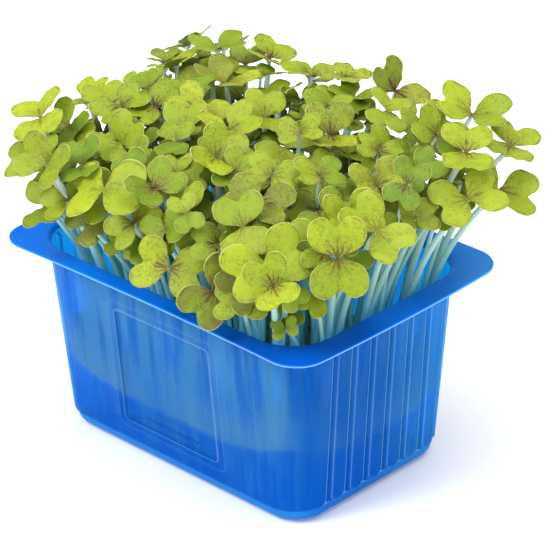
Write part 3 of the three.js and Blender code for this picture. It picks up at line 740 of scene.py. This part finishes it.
def one_sided(points, leaves, room, edge_room=EDGE_ROOM):
    """For groups of points against leaves: whether each group lies on one side of each leaf, with room."""
    head, across, along, up, half_width, length, fold, droop = leaves
    start = points[:, None] - head[:, None]
    y = np.einsum("abnc,bc->abn", start, along)
    x = np.einsum("abnc,bc->abn", start, across)
    z = np.einsum("abnc,bc->abn", start, up)
    half, full = half_width[:, None], length[:, None]
    rise = leaf_rise(x, y, half, full, fold[:, None], droop[:, None])
    reach = half * np.minimum(1, 0.2 + 2 * np.maximum(0, y) / full) + edge_room
    off = (y < LEAF_FOOT) | (y > full + edge_room) | (np.abs(x) > reach)
    gap = z - rise
    return (off | (gap >= room)).all(axis=2) | (off | (gap <= -room)).all(axis=2)


def leaves_of(seedlings):
    """The leaves of some seedlings, side by side in arrays."""
    twice = [s for s in seedlings for _ in (0, 1)]
    return (np.array([s.head for s in twice]), np.concatenate([s.across for s in seedlings]),
            np.concatenate([s.along for s in seedlings]), np.concatenate([s.up for s in seedlings]),
            np.array([s.half_width for s in twice]), np.array([s.length for s in twice]),
            np.concatenate([s.fold for s in seedlings]), np.concatenate([s.droop for s in seedlings]))


def stems_clear(one, other, spacing=STEM_SPACING):
    t = (one.stem[:, 2] - other.foot[2]) / (other.head[2] - other.foot[2])
    beside = (t >= 0) & (t <= 1)
    away = one.stem[beside, :2] - other.stem_at(t[beside])[:, :2]
    return not (np.hypot(away[:, 0], away[:, 1]) < spacing).any()


def clear_of_others(new, placed, leaf_room, stem_room, edge_rooms=(EDGE_ROOM, EDGE_ROOM),
                    spacing=STEM_SPACING):
    """Whether a seedling's leaves and stem keep clear of all that stand near it."""
    near = [s for s in placed if np.linalg.norm(s.head - new.head) <= NEAR]
    if not near:
        return True
    theirs, own = leaves_of(near), leaves_of([new])
    if not one_sided(new.blades, theirs, leaf_room, edge_rooms[0]).all():
        return False
    if not one_sided(np.concatenate([s.blades for s in near]), own, leaf_room, edge_rooms[0]).all():
        return False
    if not one_sided(new.stem[None], theirs, stem_room, edge_rooms[1]).all():
        return False
    if not one_sided(np.array([s.stem for s in near]), own, stem_room, edge_rooms[1]).all():
        return False
    return all(np.linalg.norm(s.root - new.root) < 0.1 or stems_clear(new, s, spacing) for s in near)


def clear_of_tray(new):
    """The blades stay above the rim, and the stem inside the walls."""
    low = new.stem[new.stem[:, 2] <= TRAY_HEIGHT + 0.5]
    for side in (0, 1):
        wall = RIM[side] / 2 - FLANGE_WIDTH - WALL_DRAFT * (TRAY_HEIGHT - low[:, 2]) - SHEET - WALL_ROOM
        if (np.abs(low[:, side]) > wall).any():
            return False
    return (new.blades[..., 2] > TRAY_HEIGHT + RIM_ROOM).all()


def root_at(x, y):
    return np.array([x, y, MAT_UNDERSIDE + mat_lift(x, y) + ROOT_HEIGHT])


def root_under(middle):
    drawn = [max(-r, min(r, value * r / h)) for value, r, h in zip(middle, ROOT_REACH, HEAD_REACH)]
    return root_at(*drawn)


def foot_of(root, way):
    return root + FOOT_OFFSET * np.array([math.cos(way), math.sin(way), 0])


def hand_seedling(draw, tuft, which, attempt):
    at, turn, nod, lift, size, bend = tuft["heads"][which]
    stray = [strayed(draw, attempt * HAND_STRAY) for _ in range(4)]
    fold = leaf_pair(draw, *HAND_FOLD)
    droop = leaf_pair(draw, *HAND_DROOP)
    foot = foot_of(tuft["root"], tuft["way"] + which * math.pi)
    return Seedling(tuft["root"], foot, np.array(at) + stray[:3], bend, 0, turn + 0.2 * stray[3], nod, lift,
                    fold, droop, size * (1 - HAND_SHRINK * attempt))


def grid_seedling(draw, tuft, which, attempt):
    """The first seedling of a tuft is large and high, the others lower and smaller."""
    middle, root = tuft["middle"], tuft["root"]
    kind = GRID_HEADS[which]
    way = tuft["way"] + which * 2 * math.pi / len(GRID_HEADS)
    aside = way + strayed(draw, ASIDE_VARIES)
    spread = HEAD_SPREAD * (SPREAD_VARIES[0] + SPREAD_VARIES[1] * next(draw))
    outward = math.hypot(middle[0] / HEAD_REACH[0], middle[1] / HEAD_REACH[1])
    dome = CANOPY_HEIGHT + BACK_RISE * (middle[1] / HEAD_REACH[1]) - EDGE_FALL * outward
    low, high = kind["drop"]
    drop = low + (high - low) * next(draw) + kind["sink"] * attempt
    head = (middle[0] + spread * math.cos(aside), middle[1] + spread * math.sin(aside), dome - drop)
    sway = strayed(draw, GRID_SWAY)
    turn = 2 * math.pi * next(draw)
    nod = [LIGHT_NOD[i] + NOD_OUTWARD * (middle[i] / HEAD_REACH[i]) + strayed(draw, NOD_VARIES)
           for i in (0, 1)]
    lift = leaf_pair(draw, *GRID_LIFT)
    fold = leaf_pair(draw, *GRID_FOLD)
    droop = leaf_pair(draw, *GRID_DROOP)
    size = kind["size"] * (1 - GRID_SHRINK * attempt) + strayed(draw, SIZE_VARIES)
    return Seedling(root, foot_of(root, way), head, GRID_BEND, sway, turn, nod, lift, fold, droop, size)


def grid_middles(draw, taken):
    """The middles of the tufts between the listed ones: rows, set off by half a pitch, and strayed."""
    middles = []
    row_gap = TUFT_PITCH * ROW_SHARE
    rows = int(HEAD_REACH[1] // row_gap)
    for row in range(-rows, rows + 1):
        x = -HEAD_REACH[0] + 2 + (TUFT_PITCH / 2 if row % 2 else 0)
        while x <= HEAD_REACH[0]:
            middle = [value + strayed(draw, TUFT_JITTER) for value in (x, row * row_gap)]
            outward = math.hypot(*[value / (h + CORNER_REACH) for value, h in zip(middle, HEAD_REACH)])
            root = root_under(middle)
            free = all(math.dist(tuft["middle"], middle) > HAND_SPACING
                       and np.linalg.norm(tuft["root"] - root) > ROOT_SPACING for tuft in taken)
            if free and outward < 1:
                middles.append(middle)
            x += TUFT_PITCH
    return middles


def plant_tufts():
    """All first seedlings are placed before any second, so that the large ones find room."""
    draw = draws_from(SEED)
    hand = []
    for root, heads in HAND_TUFTS:
        one, two = heads[0][0], heads[1][0]
        middle = [(one[i] + two[i]) / 2 for i in (0, 1)]
        way = math.atan2(one[1] - two[1], one[0] - two[0])
        hand.append({"heads": heads, "middle": middle, "way": way, "root": root_at(*root), "seedlings": []})
    grid = [{"middle": middle, "way": 2 * math.pi * next(draw), "root": root_under(middle), "seedlings": []}
            for middle in grid_middles(draw, hand)]
    placed = []
    for tufts, make, heads in ((hand, hand_seedling, 2), (grid, grid_seedling, len(GRID_HEADS))):
        for which in range(heads):
            for tuft in tufts:
                for attempt in range(TRIES):
                    new = make(draw, tuft, which, attempt)
                    if clear_of_tray(new) and clear_of_others(new, placed, LEAF_ROOM, STEM_ROOM):
                        tuft["seedlings"].append(new)
                        placed.append(new)
                        break
    return [tuft for tuft in hand + grid if tuft["seedlings"]], placed


tufts, placed = plant_tufts()

LEAF_OUTLINE = ((0.05, -0.01), (0.1, 0.03), (0.26, 0.085), (0.52, 0.14), (0.8, 0.26), (0.965, 0.44),
                (1.0, 0.62), (0.95, 0.8), (0.8, 0.94), (0.58, 1.0), (0.37, 0.985), (0.2, 0.9), (0.08, 0.8),
                (0.0, 0.765))
LEAF_BANDS = (0, 0.3, 0.58, 0.8, 0.93, 1)
LEAF_THICKNESS = 0.5
LEAF_TRIM = 0.95
RIPPLES = (0.035, 0.02)
CREASE_DEPTH = 0.022
CREASE_WIDTH = 0.07
STEM_RADII = (1.15, 0.95)
STEM_SIDES = 9
STEM_STEPS = 15
STEM_TIP_SUNK = 0.55
STALK_RADIUS = 0.5
STALK_SIDES = 7
STALK_REACH = (0, 0.06, 0.14, 0.26)
STALK_SUNK = (1.05, 0.95, 0.75, 0.45)
STALK_SWELL = (1.3, 1.15, 0.9, 0.3)
KNOT_LEVELS = (-2.6, -1.6, 0, 1.6, 2.6)
KNOT_RADII = (0.7, 1.4, 1.8, 1.5, 0.9)
KNOT_SIDES = 8


def smooth_outline(points, between):
    """More points on a smooth curve through the given ones."""
    found = []
    for i in range(len(points) - 1):
        p = [np.array(points[max(0, min(len(points) - 1, k))]) for k in range(i - 1, i + 3)]
        for t in np.arange(between) / between:
            square = (2 * p[0] - 5 * p[1] + 4 * p[2] - p[3]) * t ** 2
            cube = (3 * p[1] - p[0] - 3 * p[2] + p[3]) * t ** 3
            found.append(0.5 * (2 * p[1] + (p[2] - p[0]) * t + square + cube))
    return np.array(found + [np.array(points[-1])])


leaf_edge = LEAF_TRIM * smooth_outline(LEAF_OUTLINE, 2)


class Growth:
    """The mesh of some seedlings, with the leaf coordinates and the tone of each point."""

    def __init__(self):
        self.points, self.faces, self.parts = [], [], []
        self.spots, self.tones = [], []

    def add(self, points, faces, part, spots=None, tone=(0, 0, 0)):
        start = sum(len(p) for p in self.points)
        self.points.append(np.asarray(points, float))
        self.faces += [tuple(start + i for i in face) for face in faces]
        self.parts += [part] * len(faces)
        self.spots.append(np.zeros((len(points), 3)) if spots is None else np.asarray(spots, float))
        self.tones.append(np.tile(np.array([*tone, 1.0]), (len(points), 1)))

    def piece(self, name, materials):
        made = add_piece(name, np.concatenate(self.points).tolist(), self.faces)
        for material in materials:
            made.data.materials.append(material)
        made.data.polygons.foreach_set("material_index", self.parts)
        spot = made.data.attributes.new("leaf_spot", "FLOAT_VECTOR", "POINT")
        spot.data.foreach_set("vector", np.concatenate(self.spots).ravel())
        tone = made.data.attributes.new("leaf_tone", "FLOAT_COLOR", "POINT")
        tone.data.foreach_set("color", np.concatenate(self.tones).ravel())
        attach(made, "root")
        return made


def tube(path, radii, sides):
    """Points and faces of a round rod along a path, closed at both ends."""
    path = np.asarray(path, float)
    heading = np.gradient(path, axis=0)
    rings = []
    for centre, ahead, radius in zip(path, heading, radii):
        ahead = unit(ahead)
        aside = unit(np.cross(ahead, [0.83, 0.55, 0.07]))
        other = np.cross(ahead, aside)
        angles = np.arange(sides) * 2 * math.pi / sides
        rings.append(centre + radius * (np.outer(np.cos(angles), aside) + np.outer(np.sin(angles), other)))
    return np.concatenate(rings), lofted(rings)


def add_leaf(growth, seedling, i, tone, wave):
    """One seed leaf: a thin blade in two lobes, cupped as the frame's leaf, with a waved edge."""
    bands = [-k for k in reversed(LEAF_BANDS[1:])] + list(LEAF_BANDS)
    rows = len(leaf_edge) - 1
    half, length = seedling.half_width, seedling.length
    top, low, spots, low_spots, lower = [], [], [], [], {}
    for row in range(rows):
        edge_x, edge_y = leaf_edge[row]
        middle = leaf_edge[-1][1] * (row / rows) ** 1.15
        for band in bands:
            share = abs(band)
            x = band * edge_x
            y = middle + (edge_y - middle) * share
            long_wave = RIPPLES[0] * math.sin(wave[0] + 9 * y + 3 * x)
            ripple = share ** 2 * (long_wave + RIPPLES[1] * math.sin(wave[1] + 15 * x))
            crease = CREASE_DEPTH * math.exp(-(x / CREASE_WIDTH) ** 2) * min(1, 3 * y + 0.3)
            above = half * (ripple - crease)
            thick = LEAF_THICKNESS * (1 - share ** 4) * (0.75 + 0.5 * math.exp(-(x / 0.1) ** 2))
            if share < 1:
                lower[len(top)] = len(low)
                low.append(seedling.blade(i, np.array(x * half), np.array(y * length), above - thick))
                low_spots.append((x, y, share))
            top.append(seedling.blade(i, np.array(x * half), np.array(y * length), above))
            spots.append((x, y, share))
    tip_y = leaf_edge[-1][1]
    top.append(seedling.blade(i, np.array(0.0), np.array(tip_y * length), 0))
    spots.append((0, tip_y, 1))
    across = len(bands)
    tip = len(top) - 1
    under = [lower[k] + len(top) if k in lower else k for k in range(len(top))]
    faces = [tuple(range(across - 1, -1, -1)) + tuple(under[1:across - 1])]
    for row in range(rows):
        for k in range(across - 1):
            a, b = row * across + k, row * across + k + 1
            if row == rows - 1:
                faces += [(a, b, tip), (under[b], under[a], tip)]
            else:
                c, d = b + across, a + across
                faces += [(a, b, c, d), (under[b], under[a], under[d], under[c])]
    growth.add(top + low, faces, 0, spots + low_spots, tone)


def add_seedling(growth, seedling, tones, waves, radii=STEM_RADII):
    """Two leaves, each on a stalk that runs into its blade from below, and one stem."""
    for i in (0, 1):
        add_leaf(growth, seedling, i, tones[i], waves[i])
        reach = np.array(STALK_REACH) * seedling.length
        stalk = seedling.blade(i, np.zeros(len(reach)), reach, -np.array(STALK_SUNK))
        growth.add(*tube(stalk, STALK_RADIUS * np.array(STALK_SWELL), STALK_SIDES), 1)
    t = np.linspace(0, 1, STEM_STEPS)
    path = seedling.stem_at(t)
    path[-1] -= (0, 0, STEM_TIP_SUNK)
    thick = radii[0] + (radii[1] - radii[0]) * t
    thick[-1] *= 0.6
    growth.add(*tube(path, thick, STEM_SIDES), 1)


def leaf_skin():
    """A seed leaf's skin: yellow green, brown-purple veins that fan out from the stalk, a fine net of
    small veins, dark specks and a pale edge."""
    material, shade, place = new_material("leaf_skin")
    spot = shade.node("ShaderNodeAttribute", {"attribute_name": "leaf_spot"}, None, "Vector")
    tones = shade.node("ShaderNodeAttribute", {"attribute_name": "leaf_tone"}, None, "Color")
    x, y, edge = spot.part("X"), spot.part("Y"), spot.part("Z")
    tone, bronze, veined = (tones.channel(name) for name in ("Red", "Green", "Blue"))
    blotch = place.noise(120, 4)
    gaps = place.noise(330, 2)
    wide, long = x * LEAF_HALF_WIDTH, y * LEAF_LENGTH
    away = (wide * wide + long * long) ** 0.5
    near_stalk = 1 - away.step(0.5, 8)
    # Main veins, by their direction from the leaf's middle line, in radians, and their width in mm
    wander = (place.noise(260, 3) - 0.5) * (0.25 + away * 0.1)
    angle = shade.sum("ARCTAN2", shade.sum("ABSOLUTE", wide), long + 0.8) + wander
    veins = None
    for direction, width in ((0, 0.62), (0.42, 0.4), (0.85, 0.46), (1.25, 0.36)):
        off = shade.sum("ABSOLUTE", shade.sum("SINE", angle - direction)) * away
        solid_to = 2 if direction else 4
        line = (1 - off.step(width * 0.3, width * 0.75)) * (1 - away.step(solid_to, 7.5))
        veins = line if veins is None else shade.sum("MAXIMUM", veins, line)
    veins = veins * (veined * 0.7 + 0.3) * gaps.step(0.3, 0.48)
    cells = {"Vector": place, "Scale": 850}
    net = 1 - shade.node("ShaderNodeTexVoronoi", {"feature": "DISTANCE_TO_EDGE"}, cells).step(0.0, 0.12)
    dots = shade.node("ShaderNodeTexVoronoi", None, {"Vector": place, "Scale": 2100})
    speckled = gaps + near_stalk * 0.34 + bronze * 0.3 + veined * 0.16
    specks = (1 - dots.step(0.22, 0.4)) * speckled.step(0.52, 0.64)
    mottled = place.noise(700, 3).step(0.5, 0.68)
    inner_rim = edge.step(0.86, 0.92) * (1 - edge.step(0.93, 0.955)) * gaps.step(0.42, 0.56)
    # The leaf's tone is random, and lower for the lower seedlings as painted shade under the canopy
    fresh = layered(tone.tint(paint(86, 126, 6), paint(180, 192, 34)), (
        (blotch.step(0.35, 0.75) * 0.6, (142, 168, 24)),
        (mottled * (0.18 + bronze * 0.25 + veined * 0.25), (96, 96, 34)),
        (net * 0.14, (190, 202, 92)),
        (bronze * blotch.step(0.3, 0.65) * 0.6, (104, 84, 52)),
        (near_stalk * (veined * 0.5 + 0.1), (116, 92, 40)),
        (specks * 0.8, (80, 54, 22)),
        (veins * 0.95, (70, 26, 18)),
        (inner_rim * 0.5, (92, 78, 30)),
        (edge.step(0.95, 0.985) * 0.85, (216, 218, 120)),
    ))
    relief = net * 0.25 + veins * 0.6 + blotch * 0.8
    skin = shade.node("ShaderNodeBsdfPrincipled", None, {
        "Base Color": fresh,
        "Roughness": 0.42 + blotch * 0.16,
        "Specular IOR Level": 0.34,
        "Normal": relief.bump(0.35, 0.0005),
    })
    glow = shade.node("ShaderNodeBsdfTranslucent", None, {"Color": paint(160, 190, 36)})
    finish_material(shade, shade.node("ShaderNodeMixShader", None, {0: 0.22, 1: skin, 2: glow}))
    return material


def stem_skin():
    """A stem is pale and watery, with fine lines along it, and is painted teal low in the tray, as painted
    light for the blue light that comes through the walls.
    """
    material, shade, place = new_material("stem_skin")
    lines = place.stretched((1, 1, 0.05)).noise(1500, 2)
    # Painted light: teal low in the tray, where the light comes through the blue walls
    low = 1 - place.part("Z").step(0.058, 0.11)
    colour = layered(lines.step(0.3, 0.7).tint(paint(216, 232, 218), paint(248, 250, 246)), (
        (place.noise(160, 2).step(0.4, 0.8) * 0.4, (204, 218, 182)),
        (low * 0.8, (178, 244, 226)),
    ))
    skin = shade.node("ShaderNodeBsdfPrincipled", None, {
        "Base Color": colour,
        "Roughness": 0.35,
        "Normal": lines.bump(0.25, 0.0004),
    })
    glow = shade.node("ShaderNodeBsdfTranslucent", None, {"Color": paint(208, 238, 232)})
    finish_material(shade, shade.node("ShaderNodeMixShader", None, {0: 0.4, 1: skin, 2: glow}))
    return material


# Leaf tone ranges: random within each, and lower for the later, lower seedlings as painted shade under the
# canopy
FIRST_TONES = (0.45, 1)
LATER_TONES = (0.2, 0.8)
WAVE_TURN = 6.28
seedling_materials = (leaf_skin(), stem_skin())
tone_draws = np.random.default_rng(5)


def leaf_tones(low, high, bronze_share=0.14):
    """Random tones for a pair of leaves: how bright, how bronze and how strongly veined."""
    bronze = 0.4 + 0.6 * tone_draws.random() if tone_draws.random() < bronze_share else 0
    veined = tone_draws.random() ** 1.3
    return [(low + (high - low) * tone_draws.random(), bronze, veined) for _ in (0, 1)]


for number, tuft in enumerate(tufts, start=1):
    growth = Growth()
    for which, seedling in enumerate(tuft["seedlings"]):
        bright = LATER_TONES if which else FIRST_TONES
        add_seedling(growth, seedling, leaf_tones(*bright), tone_draws.random((2, 2)) * WAVE_TURN)
    knot = [tuft["root"] + (0, 0, z) for z in KNOT_LEVELS]
    growth.add(*tube(knot, KNOT_RADII, KNOT_SIDES), 1)
    node = f"seedlings_{number:02d}"
    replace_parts(growth.piece(f"{node}_grown", seedling_materials), node)

# Late seedlings
# The tray holds more seed than has come up into the canopy. These stand between the others, shorter, with
# smaller leaves, painted darker as painted shade under the canopy, and a few near the rim have only just
# opened.
LATE_TRIES = 10
LATE_RIM_TRIES = 40
LATE_PITCH = 4.4
LATE_STRAY = 16
LATE_SPACING = 1.6
# The room of leaf and stem, then by how much more, or less, than its outline a leaf keeps clear
LATE_ROOM = (0.25, 0.75, (-2.6, -0.8))
LATE_RIM_ROOM = (0.3, 0.6, (-1, -1))
LATE_REACH = (64, 45)
LATE_MARGIN = (16, 12)
LATE_FALL = 4
LATE_HIGHEST = 5
LATE_DROP = 23
LATE_SIZE = 0.8
LATE_SHRINK = 0.035
LATE_LIFT = (0.06, 0.4)
LATE_FOLD = (0, 0.45)
LATE_DROOP = (0, 0.25)
# Late leaves take the lowest tones, as painted shade under the canopy, then their share of bronze
LATE_TONES = (0.05, 0.65, 0.1)
LATE_STEM_RADII = (0.85, 0.62)
# The seedlings near the rim: root, head, how the pair is turned and size. Those that find room are built
LATE_RIM = (
    ((41, -28), (46.5, -39.5, 74.5), 0.3, 0.36),
    ((44, -25), (50.5, -37, 76.5), 1.2, 0.42),
    ((47, -22), (53, -36.5, 72.6), 2.3, 0.36),
    ((-12, -30), (-10, -44, 84), 0.7, 0.5),
    ((-26, -29), (-27, -43, 82), 1.9, 0.45),
    ((46, 29), (59, 39, 76), 2.4, 0.42),
    ((-42, -27), (-50, -38, 80), 0.4, 0.45),
    ((-46, -20), (-56, -33, 84), 1.3, 0.4),
)
late_draw = draws_from(911)
late = Growth()
late_placed = []


def try_late(new, room):
    """Adds a seedling where it has room. Its leaves may cross others a little at their edges."""
    if not (clear_of_tray(new) and clear_of_others(new, placed + late_placed, *room, LATE_SPACING)):
        return False
    late_placed.append(new)
    tones = leaf_tones(*LATE_TONES)
    add_seedling(late, new, tones, tone_draws.random((2, 2)) * WAVE_TURN, LATE_STEM_RADII)
    return True


for root, head, turn, size in LATE_RIM:
    for attempt in range(LATE_RIM_TRIES):
        stray = [strayed(late_draw, 0.25 * attempt) for _ in range(3)]
        foot = root_at(*root)
        new = Seedling(foot, foot, np.array(head) + stray, 2.4, 0, turn + stray[0], (0.3, -0.3),
                       (0.35, 0.35), (0.4, 0.3), (0.2, 0.1), size)
        if try_late(new, LATE_RIM_ROOM):
            break


def late_places():
    """Places all over the canopy, about as close as small leaves can stand."""
    columns, rows = (int(2 * reach / LATE_PITCH) for reach in LATE_REACH)
    for row in range(rows + 1):
        for column in range(columns + 1):
            place = [(step / count * 2 - 1) * reach + strayed(late_draw, LATE_PITCH)
                     for step, count, reach in zip((column, row), (columns, rows), LATE_REACH)]
            outward = [place[i] / (LATE_REACH[i] + LATE_MARGIN[i]) for i in (0, 1)]
            if math.hypot(*outward) < 1:
                yield place


def late_seedling(place, attempt):
    """One late seedling over a place, smaller at each attempt."""
    outward = math.hypot(place[0] / HEAD_REACH[0], place[1] / HEAD_REACH[1])
    dome = CANOPY_HEIGHT + BACK_RISE * place[1] / LATE_REACH[1] - LATE_FALL * outward
    foot = root_under([value + strayed(late_draw, LATE_STRAY) for value in place])
    head = [value + strayed(late_draw, 3) for value in place]
    head.append(dome + LATE_HIGHEST - LATE_DROP * next(late_draw))
    size = LATE_SIZE - LATE_SHRINK * attempt + 0.1 * next(late_draw)
    turn = 2 * math.pi * next(late_draw)
    nod = [lean + strayed(late_draw, 0.4) for lean in LIGHT_NOD]
    lift, fold, droop = (leaf_pair(late_draw, *range_of) for range_of in (LATE_LIFT, LATE_FOLD, LATE_DROOP))
    bend = 1.1 + 1.3 * next(late_draw)
    return Seedling(foot, foot, head, bend, strayed(late_draw, 5), turn, nod, lift, fold, droop, size)


for place in late_places():
    for attempt in range(LATE_TRIES):
        new = late_seedling(place, attempt)
        apart = [np.linalg.norm(new.foot - other.root) for other in late_placed + placed]
        if min(apart) > LATE_SPACING and try_late(new, LATE_ROOM):
            break
late.piece("late_seedlings", seedling_materials)

# The floor, the lights and the camera
# A wide, flat, pale floor, soft light from the left front, from above and from the right, and a camera
# where the photographer stood.
def pale_floor():
    material, shade, place = new_material("pale_floor")
    colour = place.noise(3, 2).tint(paint(247, 247, 247), paint(251, 251, 251))
    matt = shade.node("ShaderNodeBsdfPrincipled", None, {"Base Color": colour, "Roughness": 0.9})
    finish_material(shade, matt)
    return material


FLOOR_HALF = 6000
floor_corners = [(x * FLOOR_HALF, y * FLOOR_HALF, 0) for x, y in ((-1, -1), (1, -1), (1, 1), (-1, 1))]
floor = add_piece("pale_floor", floor_corners, [(0, 1, 2, 3)])
floor.data.materials.append(pale_floor())


def soft_light(name, place, aim, size, power):
    light = bpy.data.lights.new(name, "AREA")
    light.shape = "SQUARE"
    light.size = size
    light.energy = power
    lamp = bpy.data.objects.new(name, light)
    lamp.location = place
    lamp.rotation_mode = "QUATERNION"
    lamp.rotation_quaternion = (Vector(aim) - Vector(place)).to_track_quat("-Z", "Y")
    bpy.context.scene.collection.objects.link(lamp)


soft_light("key_light", (-0.35, -0.95, 1.15), (0, 0, 0.06), 0.7, 17)
soft_light("top_light", (0.25, 0.15, 1.4), (0, 0, 0.08), 0.9, 13)
soft_light("fill_light", (1.3, -0.35, 0.5), (0, 0, 0.05), 0.8, 5)

world = bpy.data.worlds.new("soft_room")
world.use_nodes = True
background = world.node_tree.nodes["Background"].inputs
background["Color"].default_value = (1, 1, 1, 1)
background["Strength"].default_value = 0.7
bpy.context.scene.world = world
bpy.context.scene.view_settings.view_transform = "Standard"

CAMERA_PLACE = (0.61447, -0.61493, 0.51507)
CAMERA_AIM = (0.00418, 0.00877, 0.05636)
CAMERA_ROLL = -1.215
camera = bpy.data.objects.new("camera", bpy.data.cameras.new("camera"))
camera.data.sensor_width = 36
camera.data.lens = 195.8
camera.data.clip_start = 0.05
camera.location = CAMERA_PLACE
camera.rotation_mode = "QUATERNION"
facing = (Vector(CAMERA_AIM) - Vector(CAMERA_PLACE)).to_track_quat("-Z", "Y")
camera.rotation_quaternion = facing @ Quaternion((0, 0, 1), math.radians(CAMERA_ROLL))
bpy.context.scene.collection.objects.link(camera)
bpy.context.scene.camera = camera
